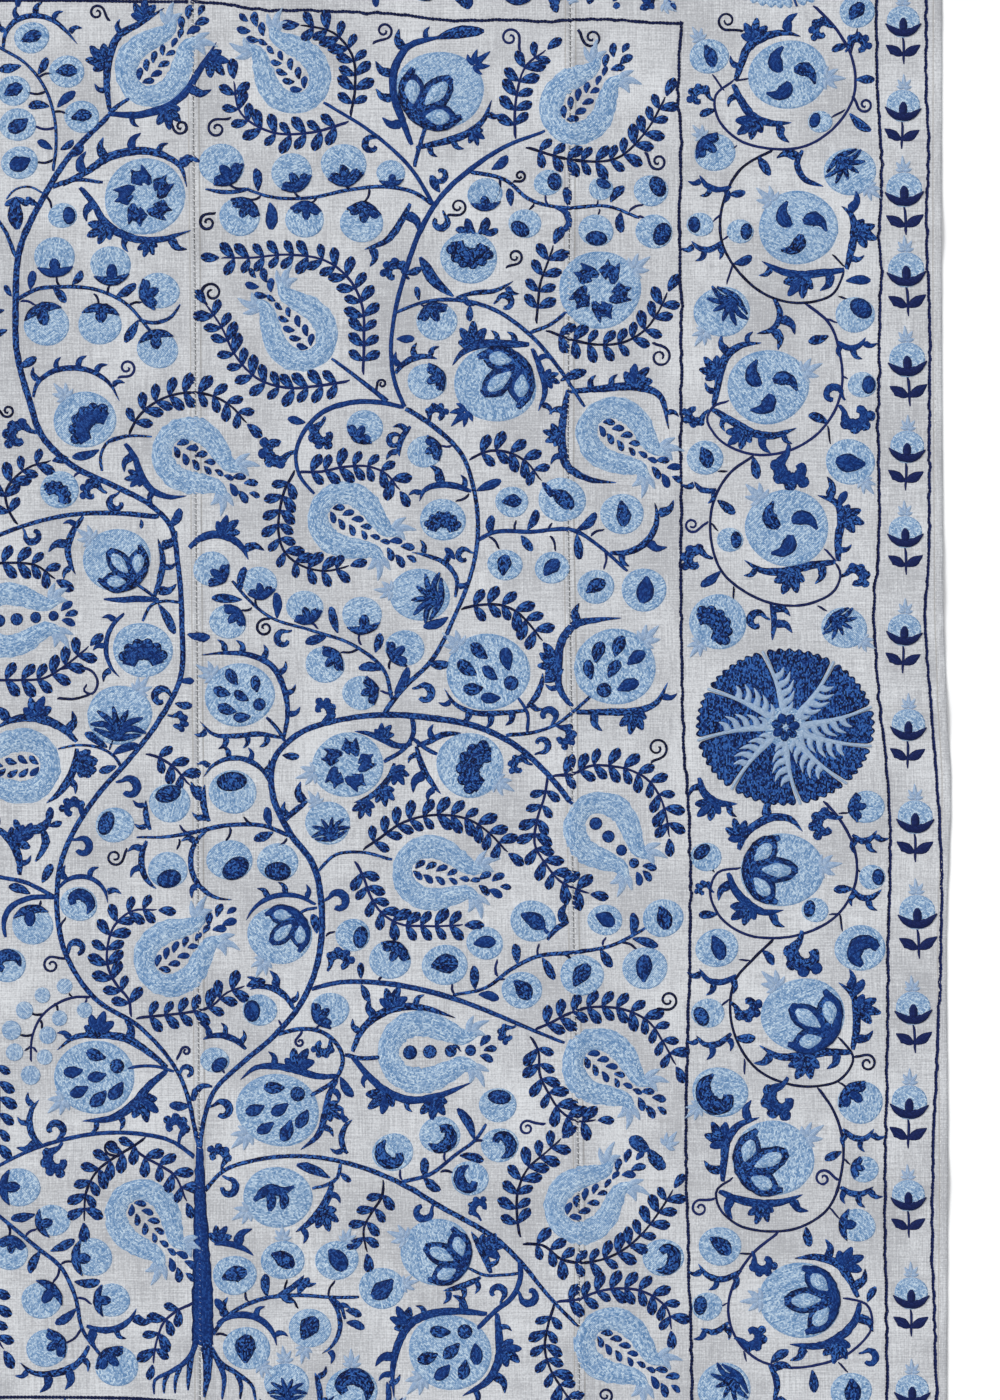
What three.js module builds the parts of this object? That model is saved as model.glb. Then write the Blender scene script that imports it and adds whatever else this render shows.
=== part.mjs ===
// A suzani: four strips of hand-loomed cotton sewn edge to edge, hemmed all round and laid out flat.
// The strips' edges wander as hand-sewn ones do, and the cloth keeps the soft creases of its storage folds.
// Millimetres, +Z up. X runs across the strips, Y along them, and the underside rests on z = 0.
import * as THREE from "three";

// Driving dimensions
const CLOTH_WIDTH = 1490;
const CLOTH_LENGTH = 1900;
const STRIP_COUNT = 4;
const CLOTH_THICKNESS = 1.2;
const SEAM_GAP = 0.3;
const SEAM_ALLOWANCE = 5;
const SEAM_RISE = 0.6;
const HEM_WIDTH = 9;
const HEM_RISE = 0.8;
const TURNED_EDGE_SLOPE = 1;
const ROW_SPACING = 62;
const COLUMN_SPACING = 58;

const STRIP_WIDTH = CLOTH_WIDTH / STRIP_COUNT;
const HALF_LENGTH = CLOTH_LENGTH / 2;
const COTTON_COLOUR = 0xcdcac4;

// How far a long line strays to the right of straight: a row for each turn, from the foot to the head
const CENTRE_SEAM_STRAY = [
  { along: -HALF_LENGTH, stray: 4 },
  { along: -690, stray: 3.5 },
  { along: -120, stray: 1.5 },
  { along: 300, stray: -1 },
  { along: 700, stray: -3.5 },
  { along: HALF_LENGTH, stray: -4 },
];
const QUARTER_SEAM_STRAY = [
  { along: -HALF_LENGTH, stray: 11 },
  { along: -560, stray: 10 },
  { along: -80, stray: 3 },
  { along: 240, stray: -1 },
  { along: 700, stray: 1 },
  { along: HALF_LENGTH, stray: 2 },
];
const SIDE_EDGE_STRAY = [
  { along: -HALF_LENGTH, stray: 3 },
  { along: -690, stray: 5 },
  { along: -430, stray: 6 },
  { along: -240, stray: 4.5 },
  { along: -75, stray: 9 },
  { along: 20, stray: 4 },
  { along: 110, stray: 1 },
  { along: 480, stray: -0.5 },
  { along: 710, stray: 0 },
  { along: HALF_LENGTH, stray: 1.5 },
];
const END_EDGE_STRAY = [
  { along: -CLOTH_WIDTH / 2, stray: 2 },
  { along: -430, stray: -2 },
  { along: -130, stray: 1 },
  { along: 180, stray: -1.5 },
  { along: 470, stray: 2 },
  { along: CLOTH_WIDTH / 2, stray: 0 },
];

// Creases left by folding the cloth in four each way: where each runs, how high and how wide it stands
const CROSS_CREASES = [
  { at: 478, lift: 1.8, reach: 36 },
  { at: -2, lift: 2.6, reach: 42 },
  { at: -476, lift: 1.6, reach: 36 },
];
const LONG_CREASES = [
  { at: -STRIP_WIDTH, lift: 1.3, reach: 34 },
  { at: STRIP_WIDTH, lift: 1.5, reach: 34 },
];

// Soft swells where the stitching draws the cloth up off the floor
const SWELLS = [
  { x: 690, y: 118, reachX: 120, reachY: 95, lift: 3.2 },
  { x: 655, y: -385, reachX: 100, reachY: 170, lift: 2.4 },
  { x: 430, y: -560, reachX: 150, reachY: 110, lift: 2.2 },
  { x: 470, y: 610, reachX: 130, reachY: 120, lift: 2.0 },
  { x: 120, y: 250, reachX: 110, reachY: 140, lift: 1.8 },
  { x: -190, y: -280, reachX: 140, reachY: 120, lift: 2.2 },
  { x: -560, y: 330, reachX: 130, reachY: 160, lift: 2.4 },
  { x: -660, y: -210, reachX: 110, reachY: 130, lift: 2.8 },
  { x: -330, y: 690, reachX: 140, reachY: 110, lift: 1.9 },
  { x: 180, y: -790, reachX: 170, reachY: 90, lift: 2.1 },
];

// A bell that is 1 at its middle and meets 0 level at its reach
function bell(distance, reach) {
  const share = Math.min(1, Math.abs(distance) / reach);
  return 0.5 * (1 + Math.cos(Math.PI * share));
}

// The stray at a place along a line, eased between the rows of its table
function strayAt(table, along) {
  const next = table.findIndex((row) => row.along >= along);
  if (next <= 0) return table[next === 0 ? 0 : table.length - 1].stray;
  const [from, to] = [table[next - 1], table[next]];
  const share = (along - from.along) / (to.along - from.along);
  return THREE.MathUtils.lerp(from.stray, to.stray, THREE.MathUtils.smoothstep(share, 0, 1));
}

// The five long lines of the cloth: two side edges, two quarter seams and the centre seam.
// The left half strays as the mirror of the right one.
function longLine(index, y) {
  const straight = index * STRIP_WIDTH - CLOTH_WIDTH / 2;
  const fromCentre = index - STRIP_COUNT / 2;
  if (fromCentre === 0) return strayAt(CENTRE_SEAM_STRAY, y);
  const outermost = Math.abs(fromCentre) === STRIP_COUNT / 2;
  const stray = strayAt(outermost ? SIDE_EDGE_STRAY : QUARTER_SEAM_STRAY, y);
  return straight + Math.sign(fromCentre) * stray;
}

// Height of the underside: level on the floor but for creases and swells
function liftAt(x, y) {
  let lift = 0;
  for (const crease of CROSS_CREASES) lift += crease.lift * bell(y - crease.at, crease.reach);
  for (const crease of LONG_CREASES) lift += crease.lift * bell(x - crease.at, crease.reach);
  for (const swell of SWELLS) {
    lift += swell.lift * bell(Math.hypot((x - swell.x) / swell.reachX, (y - swell.y) / swell.reachY), 1);
  }
  return lift;
}

// 1 on a turned-under band along an edge, 0 on the single cloth beyond it
function turnedUnder(fromEdge, bandWidth) {
  return 1 - THREE.MathUtils.clamp((fromEdge - bandWidth) / TURNED_EDGE_SLOPE + 0.5, 0, 1);
}

// Stations between two ends: the turned band's two shoulders at each end, and even steps between
function stations(from, to, firstBand, lastBand, spacing) {
  const half = TURNED_EDGE_SLOPE / 2;
  const first = from + firstBand + half;
  const last = to - lastBand - half;
  const steps = Math.round((last - first) / spacing);
  const list = [from, from + firstBand - half];
  for (let step = 0; step <= steps; step++) list.push(THREE.MathUtils.lerp(first, last, step / steps));
  list.push(to - lastBand + half, to);
  return list;
}

// Rows along the cloth, with extra ones on each cross crease
function rowStations() {
  const rows = stations(-HALF_LENGTH, HALF_LENGTH, HEM_WIDTH, HEM_WIDTH, ROW_SPACING);
  const clear = rows.filter((y) => CROSS_CREASES.every((crease) => Math.abs(y - crease.at) > crease.reach * 1.2));
  for (const crease of CROSS_CREASES) {
    for (const share of [-1, -0.5, 0, 0.5, 1]) clear.push(crease.at + share * crease.reach);
  }
  return clear.sort((a, b) => a - b);
}

// One strip: a thin box whose faces are divided and moved onto the cloth's shape
function stripGeometry(index) {
  const leftBand = index === 0 ? HEM_WIDTH : SEAM_ALLOWANCE;
  const rightBand = index === STRIP_COUNT - 1 ? HEM_WIDTH : SEAM_ALLOWANCE;
  const leftRise = index === 0 ? HEM_RISE : SEAM_RISE;
  const rightRise = index === STRIP_COUNT - 1 ? HEM_RISE : SEAM_RISE;
  const columns = stations(0, STRIP_WIDTH, leftBand, rightBand, COLUMN_SPACING);
  const rows = rowStations();
  const geometry = new THREE.BoxGeometry(1, 1, 1, columns.length - 1, rows.length - 1, 1);
  const position = geometry.getAttribute("position");
  for (let corner = 0; corner < position.count; corner++) {
    const across = columns[Math.round((position.getX(corner) + 0.5) * (columns.length - 1))];
    const along = rows[Math.round((position.getY(corner) + 0.5) * (rows.length - 1))];
    const left = longLine(index, along) + (index === 0 ? 0 : SEAM_GAP / 2);
    const right = longLine(index + 1, along) - (index === STRIP_COUNT - 1 ? 0 : SEAM_GAP / 2);
    const x = THREE.MathUtils.lerp(left, right, across / STRIP_WIDTH);
    const towardsEnd = along / HALF_LENGTH;
    const y = along + Math.sign(towardsEnd) * towardsEnd ** 8 * strayAt(END_EDGE_STRAY, x);
    const rise = Math.max(
      leftRise * turnedUnder(across, leftBand),
      rightRise * turnedUnder(STRIP_WIDTH - across, rightBand),
      HEM_RISE * turnedUnder(HALF_LENGTH - Math.abs(along), HEM_WIDTH),
    );
    const onTop = position.getZ(corner) > 0;
    position.setXYZ(corner, x, y, liftAt(x, y) + (onTop ? CLOTH_THICKNESS + rise : 0));
  }
  geometry.computeVertexNormals();
  return geometry;
}

const cotton = new THREE.MeshStandardMaterial({ color: COTTON_COLOUR, roughness: 0.95, metalness: 0 });
const suzani = new THREE.Group();
for (let index = 0; index < STRIP_COUNT; index++) {
  const strip = new THREE.Mesh(stripGeometry(index), cotton.clone());
  strip.name = `cloth_strip_${index + 1}`;
  suzani.add(strip);
}

export default suzani;
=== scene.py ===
import math

import bpy
import numpy as np
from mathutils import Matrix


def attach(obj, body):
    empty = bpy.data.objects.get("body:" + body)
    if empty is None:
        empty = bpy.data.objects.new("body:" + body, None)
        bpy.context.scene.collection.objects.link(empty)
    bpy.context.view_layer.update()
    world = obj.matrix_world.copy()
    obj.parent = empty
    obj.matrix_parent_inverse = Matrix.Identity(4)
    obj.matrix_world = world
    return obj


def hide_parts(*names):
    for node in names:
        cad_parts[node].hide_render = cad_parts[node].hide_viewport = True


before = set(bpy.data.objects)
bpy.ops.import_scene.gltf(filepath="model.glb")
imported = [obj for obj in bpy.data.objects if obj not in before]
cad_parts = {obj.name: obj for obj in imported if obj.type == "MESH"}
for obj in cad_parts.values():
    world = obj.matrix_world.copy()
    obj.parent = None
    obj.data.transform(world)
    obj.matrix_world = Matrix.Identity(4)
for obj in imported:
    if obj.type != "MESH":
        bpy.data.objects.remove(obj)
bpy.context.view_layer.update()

# The place where the suzani is looked at: a plain pale floor under a soft studio light from the upper left.
# The camera hangs straight above and takes in one metre by 1.4 metres of the cloth, as the photo does.
MM = 0.001
VIEW_LENGTH = 1.4
VIEW_CENTRE = (0.303, 0.010)
CAMERA_HEIGHT = 3.2
SENSOR_MM = 36.0
CLIP_END = 200.0
FLOOR_REACH, FLOOR_DROP = 60.0, 0.2
FLOOR_COLOUR = (0.94, 0.94, 0.94, 1.0)
FLOOR_ROUGHNESS = 0.9
SKY_COLOUR = (0.955, 0.975, 1.0, 1.0)
SKY_STRENGTH = 0.67
LAMP_COLOUR = (1.0, 0.99, 0.975)
LAMP_STRENGTH = 2.3
LAMP_SOFTNESS = 22.0
LAMP_TILT = 52.0
LAMP_HEADING = 38.0

scene = bpy.context.scene
scene.view_settings.view_transform = "Standard"
scene.view_settings.look = "None"


def show(name, data):
    """Puts a mesh, lamp or camera into the scene as an object of that name."""
    item = bpy.data.objects.new(name, data)
    scene.collection.objects.link(item)
    return item


corners = [(way_x * FLOOR_REACH, way_y * FLOOR_REACH, -FLOOR_DROP * MM)
           for way_x, way_y in ((-1, -1), (1, -1), (1, 1), (-1, 1))]
floor_mesh = bpy.data.meshes.new("floor")
floor_mesh.from_pydata(corners, [], [(0, 1, 2, 3)])
floor_paint = bpy.data.materials.new("floor_paint")
floor_paint.use_nodes = True
floor_shader = floor_paint.node_tree.nodes["Principled BSDF"]
floor_shader.inputs["Base Color"].default_value = FLOOR_COLOUR
floor_shader.inputs["Roughness"].default_value = FLOOR_ROUGHNESS
floor_mesh.materials.append(floor_paint)
show("floor", floor_mesh)

sky = bpy.data.worlds.new("studio")
sky.use_nodes = True
sky.node_tree.nodes["Background"].inputs["Color"].default_value = SKY_COLOUR
sky.node_tree.nodes["Background"].inputs["Strength"].default_value = SKY_STRENGTH
scene.world = sky

lamp = bpy.data.lights.new("lamp", "SUN")
lamp.energy = LAMP_STRENGTH
lamp.angle = math.radians(LAMP_SOFTNESS)
lamp.color = LAMP_COLOUR
show("lamp", lamp).rotation_euler = (0.0, -math.radians(LAMP_TILT), -math.radians(LAMP_HEADING))

camera = bpy.data.cameras.new("camera")
camera.sensor_width = SENSOR_MM
camera.lens = SENSOR_MM * CAMERA_HEIGHT / VIEW_LENGTH
camera.clip_end = CLIP_END
eye = show("camera", camera)
eye.location = (*VIEW_CENTRE, CAMERA_HEIGHT)
scene.camera = eye

# Four strips of hand-loomed cotton, about 37 cm wide, laid side by side with their edges turned under.
# The cloth lies on the floor with the soft creases of its folds, drawn into small puckers by the stitching.
# Its plain weave of uneven hand-spun threads is in the material, with darker turned edges and painted shade
# on the creases.
CLOTH_WIDTH = 1490.0
CLOTH_LENGTH = 1900.0
STRIP_COUNT = 4
STRIP_WIDTH = CLOTH_WIDTH / STRIP_COUNT
HALF_LENGTH = CLOTH_LENGTH / 2
CLOTH_THICKNESS = 1.2
SHEET_THICKNESS = 1.0
SEAM_GAP = 0.3
SEAM_BAND, SEAM_RISE = 5.0, 0.6
HEM_BAND, HEM_RISE = 9.0, 0.8
CLOTH_STEP = 9.5
# The ridge over a seam, and where the step up to the hem starts and how wide it is
RIDGE_REACH, RIDGE_RISE = 2.4 * SEAM_BAND, SEAM_RISE * 1.15
HEM_STEP_START, HEM_STEP = 2.0, 1.8
# A turned edge: places close to its fold, places before and after its shoulder, the shoulder's width
FOLD_PLACES, BEFORE_SHOULDER, AFTER_SHOULDER, SHOULDER = [0, 0.7, 2.4], 1.1, 1.2, 1.2
# How a fold is rounded off: the drop as a share of its rise, and how far in it reaches
FOLD_DROP, FOLD_ROUND = 1.1, 1.4

# How far each long line strays to the right of straight: millimetres along the cloth, stray
CENTRE_SEAM = [(-950, 4), (-690, 3.5), (-120, 1.5), (300, -1), (700, -3.5), (950, -4)]
QUARTER_SEAM = [(-950, 11), (-560, 10), (-80, 3), (240, -1), (700, 1), (950, 2)]
SIDE_EDGE = [
    (-950,3), (-690,5), (-430,6), (-240,4.5), (-75,9), (20,4), (110,1), (480,-0.5), (710,0), (950,1.5),
]
END_EDGE = [(-745, 2), (-430, -2), (-130, 1), (180, -1.5), (470, 2), (745, 0)]

# Fold creases: where each runs, lift, reach
CROSS_CREASES = [(478, 1.8, 36), (-2, 2.6, 42), (-476, 1.6, 36)]
LONG_CREASES = [(-STRIP_WIDTH, 1.3, 34), (STRIP_WIDTH, 1.5, 34)]
# The sharp line on a cross crease: its rise and reach, its sway and the length of the sway
SHARP_RISE, SHARP_REACH, SWAY, SWAY_LENGTH = 0.35, 4.5, 1.5, 60
# How far the darker tone is followed from a turned edge, and the painted shade from a crease
FOLD_DARKENING_REACH, CREASE_SHADE_REACH = 9, 11
# Swells where the cloth stands off the floor: x, y, reach across, reach along, lift
SWELLS = [
    (690,118,120,95,3.2), (655,-385,100,170,2.4), (430,-560,150,110,2.2), (470,610,130,120,2.0),
    (120,250,110,140,1.8), (-190,-280,140,120,2.2), (-560,330,130,160,2.4), (-660,-210,110,130,2.8),
    (-330,690,140,110,1.9), (180,-790,170,90,2.1),
]
# Puckers: heading in degrees, wavelength, height
PUCKERS = [(12, 61, 0.135), (71, 47, 0.125), (128, 38, 0.095), (163, 83, 0.175), (40, 29, 0.05)]
# How a pucker drifts along its way, and how high the puckered cloth stands
DRIFT, DRIFT_LENGTH, PUCKER_LEVEL = 2.1, 173, 0.25


def bell(distance, reach):
    """1 in the middle, and level 0 from the reach on."""
    return 0.5 * (1 + np.cos(np.pi * np.clip(np.abs(distance) / reach, 0, 1)))


def eased(table, along):
    """The second column of a table at places along its first, eased between the rows."""
    places, values = np.transpose(table)
    share = np.interp(along, places, np.arange(len(places)))
    row = np.clip(share.astype(int), 0, len(places) - 2)
    part = share - row
    return values[row] + (values[row + 1] - values[row]) * part * part * (3 - 2 * part)


def long_line(index, y):
    """X of a long line of the cloth: 0 and 4 are the side edges, 2 is the centre seam."""
    from_centre = index - STRIP_COUNT // 2
    if from_centre == 0:
        return eased(CENTRE_SEAM, y)
    table = SIDE_EDGE if abs(from_centre) == 2 else QUARTER_SEAM
    return from_centre * STRIP_WIDTH + np.sign(from_centre) * eased(table, y)


def from_crease(x, y, at):
    """How far a place lies from the swaying line of a cross crease."""
    return y - at - SWAY * np.sin(x / SWAY_LENGTH)


def lift(x, y):
    """Height of the cloth's underside over the floor."""
    height = np.zeros(np.shape(x))
    for at, rise, reach in CROSS_CREASES:
        height = height + rise * bell(y - at, reach) + SHARP_RISE * bell(from_crease(x, y, at), SHARP_REACH)
    for at, rise, reach in LONG_CREASES:
        height = height + rise * bell(x - at, reach)
    for middle_x, middle_y, across, along, rise in SWELLS:
        height = height + rise * bell(np.hypot((x - middle_x) / across, (y - middle_y) / along), 1)
    pucker = 0.0
    for heading, wavelength, rise in PUCKERS:
        way = np.cos(np.radians(heading)) * x + np.sin(np.radians(heading)) * y
        drift = DRIFT * np.sin(way / DRIFT_LENGTH + heading)
        pucker = pucker + rise * np.sin(2 * np.pi * way / wavelength + drift)
    return height + np.clip(PUCKER_LEVEL + pucker, 0, None)


def cloth_top(x, y):
    """Height of the cloth's face, with a soft ridge over the seams and a step up to the turned hem."""
    seams = sum(bell(x - long_line(index, y), RIDGE_REACH) for index in (1, 2, 3))
    from_side = long_line(STRIP_COUNT, y) - np.abs(x)
    from_end = HALF_LENGTH + eased(END_EDGE, x) - np.abs(y)
    hem = np.clip((HEM_BAND + HEM_STEP_START - np.minimum(from_side, from_end)) / HEM_STEP, 0, 1)
    return lift(x, y) + CLOTH_THICKNESS + RIDGE_RISE * seams + HEM_RISE * hem


def edge_stations(length, first_band, last_band):
    """Places across a sheet: close by its turned edges and even between them."""
    first, last = ([*FOLD_PLACES, band - BEFORE_SHOULDER, band, band + AFTER_SHOULDER]
                   for band in (first_band, last_band))
    last = [length - place for place in reversed(last)]
    between = round((last[0] - first[-1]) / CLOTH_STEP)
    return np.array(first + list(np.linspace(first[-1], last[0], between + 1)[1:-1]) + last)


def rounded_off(from_edge, rise):
    """How far a fold drops at its edge."""
    return FOLD_DROP * rise * np.clip(1 - from_edge / FOLD_ROUND, 0, 1) ** 2


def turned_band(from_edge, band, rise):
    """How far a turned edge stands up, rounded off at its fold."""
    shoulder = np.clip((band + SHOULDER / 2 - from_edge) / SHOULDER, 0, 1)
    return rise * shoulder - rounded_off(from_edge, rise)


def strip_mesh(index):
    """One strip's face, with its own weave coordinates and its distance from the turned edges."""
    outer_left, outer_right = index == 0, index == STRIP_COUNT - 1
    bands = [(HEM_BAND, HEM_RISE) if outer else (SEAM_BAND, SEAM_RISE) for outer in (outer_left, outer_right)]
    columns = edge_stations(STRIP_WIDTH, bands[0][0], bands[1][0])
    rows = edge_stations(CLOTH_LENGTH, HEM_BAND, HEM_BAND) - HALF_LENGTH
    across, along = np.meshgrid(columns, rows)
    left = long_line(index, along) + (0 if outer_left else SEAM_GAP / 2)
    right = long_line(index + 1, along) - (0 if outer_right else SEAM_GAP / 2)
    x = left + (right - left) * across / STRIP_WIDTH
    y = along + np.sign(along) * (along / HALF_LENGTH) ** 8 * eased(END_EDGE, x)
    from_end = HALF_LENGTH - np.abs(along)
    from_left, from_right = across, STRIP_WIDTH - across
    rise = np.maximum.reduce([turned_band(from_left, *bands[0]), turned_band(from_right, *bands[1]),
                              turned_band(from_end, HEM_BAND, HEM_RISE)])
    from_any = np.minimum(np.minimum(from_left, from_right), from_end)
    z = lift(x, y) + CLOTH_THICKNESS + rise - rounded_off(from_any, SEAM_RISE)
    fold = np.minimum.reduce([np.abs(from_left - bands[0][0]), np.abs(from_right - bands[1][0]),
                              np.abs(from_end - HEM_BAND)])
    number = np.arange(x.size).reshape(x.shape)
    corners = [number[:-1, :-1], number[:-1, 1:], number[1:, 1:], number[1:, :-1]]
    quads = np.stack(corners, -1).reshape(-1, 4)
    mesh = bpy.data.meshes.new(f"cloth_{index + 1}")
    mesh.from_pydata((np.stack([x, y, z], -1).reshape(-1, 3) * MM).tolist(), [], quads.tolist())
    weave = mesh.uv_layers.new(name="weave")
    flat = np.stack([across, along], -1).reshape(-1, 2) * MM
    weave.uv.foreach_set("vector", flat[quads.ravel()].ravel())
    # How near each place is to a cross crease, where painted shade darkens the ground
    crest = sum(bell(from_crease(x, y, at), CREASE_SHADE_REACH) for at, _, _ in CROSS_CREASES)
    for label, values in (("from_fold", np.clip(fold, 0, FOLD_DARKENING_REACH)), ("on_crease", crest)):
        mesh.attributes.new(label, "FLOAT", "POINT").data.foreach_set("value", values.ravel())
    mesh.shade_smooth()
    return mesh


class Signal:
    """A socket of a node tree. Operators on signals add Math nodes, and node adds any other."""

    def __init__(self, tree, socket=None):
        self.tree, self.socket = tree, socket

    def node(self, kind, settings=None, sockets=None, output=0):
        """Adds a node: its settings first, then the values or links of its sockets."""
        made = self.tree.nodes.new(kind)
        for name, setting in (settings or {}).items():
            setattr(made, name, setting)
        for name, value in (sockets or {}).items():
            if isinstance(value, Signal):
                self.tree.links.new(value.socket, made.inputs[name])
            else:
                made.inputs[name].default_value = value
        return Signal(self.tree, made.outputs[output])

    def maths(self, operation, *terms):
        return self.node("ShaderNodeMath", {"operation": operation}, dict(enumerate(terms)))

    def __add__(self, other):
        return self.maths("ADD", self, other)

    def __sub__(self, other):
        return self.maths("SUBTRACT", self, other)

    def __rsub__(self, other):
        return self.maths("SUBTRACT", other, self)

    def __mul__(self, other):
        return self.maths("MULTIPLY", self, other)

    def __truediv__(self, other):
        return self.maths("DIVIDE", self, other)

    def __pow__(self, other):
        return self.maths("POWER", self, other)

    __radd__, __rmul__ = __add__, __mul__

    def wave(self):
        """The sine of this many whole turns."""
        return self.maths("SINE", self * (2 * math.pi))

    def fraction(self):
        return self.maths("FRACT", self)

    def floor(self):
        return self.maths("FLOOR", self)

    def size(self):
        return self.maths("ABSOLUTE", self)

    def between(self, low, high):
        """0 below low, 1 above high, eased between them."""
        names = {"Value": self, "From Min": low, "From Max": high}
        return self.node("ShaderNodeMapRange", {"interpolation_type": "SMOOTHSTEP"}, names)

    def vector(self, x, y, z=0.0):
        return self.node("ShaderNodeCombineXYZ", None, {"X": x, "Y": y, "Z": z})

    def parts(self):
        """The X and Y of a vector."""
        split = self.node("ShaderNodeSeparateXYZ", None, {"Vector": self}).socket.node
        return Signal(self.tree, split.outputs["X"]), Signal(self.tree, split.outputs["Y"])

    def blend(self, share, first, second):
        """A mix of two colours."""
        return self.node("ShaderNodeMix", {"data_type": "RGBA"}, {0: share, 6: first, 7: second}, 2)

    def noise(self, place, scale, detail=2.0):
        return self.node("ShaderNodeTexNoise", None, {"Vector": place, "Scale": scale, "Detail": detail})

    def attribute(self, name):
        return self.node("ShaderNodeAttribute", {"attribute_name": name}, None, "Fac")

    def bump(self, strength, depth):
        """This signal as a relief of so many millimetres."""
        sockets = {"Strength": strength, "Distance": depth * MM, "Height": self}
        return self.node("ShaderNodeBump", None, sockets)

    def feed(self, shader, name):
        """Links this signal to an input of a shader."""
        self.tree.links.new(self.socket, shader.inputs[name])


COTTON_GLOSS = 0.25


def new_material(name):
    """A material with its shader, and a signal that adds nodes to it."""
    material = bpy.data.materials.new(name)
    material.use_nodes = True
    tree = material.node_tree
    shader = tree.nodes["Principled BSDF"]
    shader.inputs["Specular IOR Level"].default_value = COTTON_GLOSS
    return material, shader, Signal(tree)


def colour(red, green, blue):
    """A colour given in screen values, as the shader takes it."""
    return tuple((value / 255) ** 2.2 for value in (red, green, blue)) + (1.0,)


GROUND_PALE, GROUND_DEEP = colour(215, 217, 220), colour(164, 165, 169)
# The darkened ground colour serves a darker tone along turned edges and painted shade along the creases
GROUND_SLUB, GROUND_DARKENED = colour(228, 228, 229), colour(128, 122, 114)
METRE = 1000
WARP_PITCH, WEFT_PITCH = 1.25, 1.4
# How fast each unevenness of the weave changes across and along a strip, for a millimetre
LONG_SLUBS, CROSS_SLUBS = (0.85, 0.035), (0.03, 0.8)
FIBRES, CLOUDS = (0.5, 0.5), (0.012, 0.009)
FINE_DETAIL = 4.0
# Shares in the tone of the ground
SLUB_SHARE, FIBRE_SHARE, STREAK_MIDDLE = 0.42, 0.45, 0.645
STREAK_TONE, WEAVE_TONE, CLOUD_TONE, TONE_LEVEL = 1.7, 0.05, 0.7, 0.13
# Where the ground turns pale, where a slub shows white, and where the darker tone of a turned edge ends
TURNS_PALE, SHOWS_WHITE, DARKENING_ENDS = (0.19, 0.85), (0.1, 0.32), (0.15, 1.25)
# How dark a turned edge is at least and on its slubs, and how dark the painted shade of a crease is
DARKENING_LEAST, DARKENING_ON_SLUBS, CREASE_SHADE = 0.2, 0.55, 0.16
# Shares in the height of the weave
WEAVE_HEIGHT, STREAK_HEIGHT, FIBRE_HEIGHT = 0.3, 1.6, 0.35
WEAVE_BUMP, WEAVE_RELIEF = 0.5, 0.35
COTTON_ROUGHNESS, COTTON_SHEEN = 0.93, 0.12

cotton, cotton_shader, add = new_material("cotton_ground")
weave_across, weave_along = add.node("ShaderNodeUVMap", {"uv_map": "weave"}).parts()
across_mm, along_mm = weave_across * METRE, weave_along * METRE
warp, weft = (across_mm / WARP_PITCH).wave(), (along_mm / WEFT_PITCH).wave()


def unevenness(rates, detail=3.0):
    """A noise that is stretched along or across the threads."""
    return add.noise(add.vector(across_mm * rates[0], along_mm * rates[1]), 1.0, detail)


long_slubs, cross_slubs = unevenness(LONG_SLUBS), unevenness(CROSS_SLUBS)
fibres, clouds = unevenness(FIBRES, FINE_DETAIL), unevenness(CLOUDS)
streaks = long_slubs * SLUB_SHARE + cross_slubs * SLUB_SHARE + fibres * FIBRE_SHARE - STREAK_MIDDLE
tone = streaks * STREAK_TONE + warp * weft * WEAVE_TONE + clouds * CLOUD_TONE + TONE_LEVEL
ground = add.blend(tone.between(*TURNS_PALE), GROUND_DEEP, GROUND_PALE)
ground = add.blend(streaks.between(*SHOWS_WHITE), ground, GROUND_SLUB)
# Darker along the folds of the turned edges, more so on the slubs
fold_darkening = 1 - add.attribute("from_fold").between(*DARKENING_ENDS)
fold_darkening_and_crease_shade = fold_darkening * (DARKENING_LEAST + DARKENING_ON_SLUBS * long_slubs)
# Painted shade along the cross creases, uneven with the clouds
fold_darkening_and_crease_shade = fold_darkening_and_crease_shade + add.attribute("on_crease") * CREASE_SHADE * clouds
ground = add.blend(fold_darkening_and_crease_shade, ground, GROUND_DARKENED)
ground.feed(cotton_shader, "Base Color")
relief = warp * weft * WEAVE_HEIGHT + streaks * STREAK_HEIGHT + fibres * FIBRE_HEIGHT
relief.bump(WEAVE_BUMP, WEAVE_RELIEF).feed(cotton_shader, "Normal")
cotton_shader.inputs["Roughness"].default_value = COTTON_ROUGHNESS
cotton_shader.inputs["Sheen Weight"].default_value = COTTON_SHEEN

for index in range(STRIP_COUNT):
    strip = show(f"cotton_strip_{index + 1}", strip_mesh(index))
    strip.data.materials.append(cotton)
    thick = strip.modifiers.new("thickness", "SOLIDIFY")
    thick.thickness = SHEET_THICKNESS * MM
    thick.offset = -1
    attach(strip, "root")
    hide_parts(f"cloth_strip_{index + 1}")

# The embroidery is chain stitch in silk thread, row beside row, so every motif stands a little proud.
# A motif is drawn flat, in millimetres from the centre seam and the middle fold, then laid on the cloth.
# Places are as in the photo, a pixel to a millimetre: across from its left, down from its top.
SEAM_PIXEL, MIDDLE_PIXEL = 197, 710
SUNK = -0.15
LAID_ON = 0.85
FILLING_RISE, THREAD_RISE = 0.7, 0.7
ROW_WIDTH, STITCH_LENGTH = 1.4, 1.8
# Half of a ribbon's width to its sunk edges, for a single thread and for rows of them
THREAD_HALF, ROWS_HALF = 0.6, 0.54
# How uneven the edges of ribbons and the rounds of discs are
RAGGED, TWO_LOBED, THREE_LOBED = 0.05, 0.014, 0.012
# How far the stitches of a patch may be shifted along their rows
THREAD_SHIFT = 40
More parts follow.
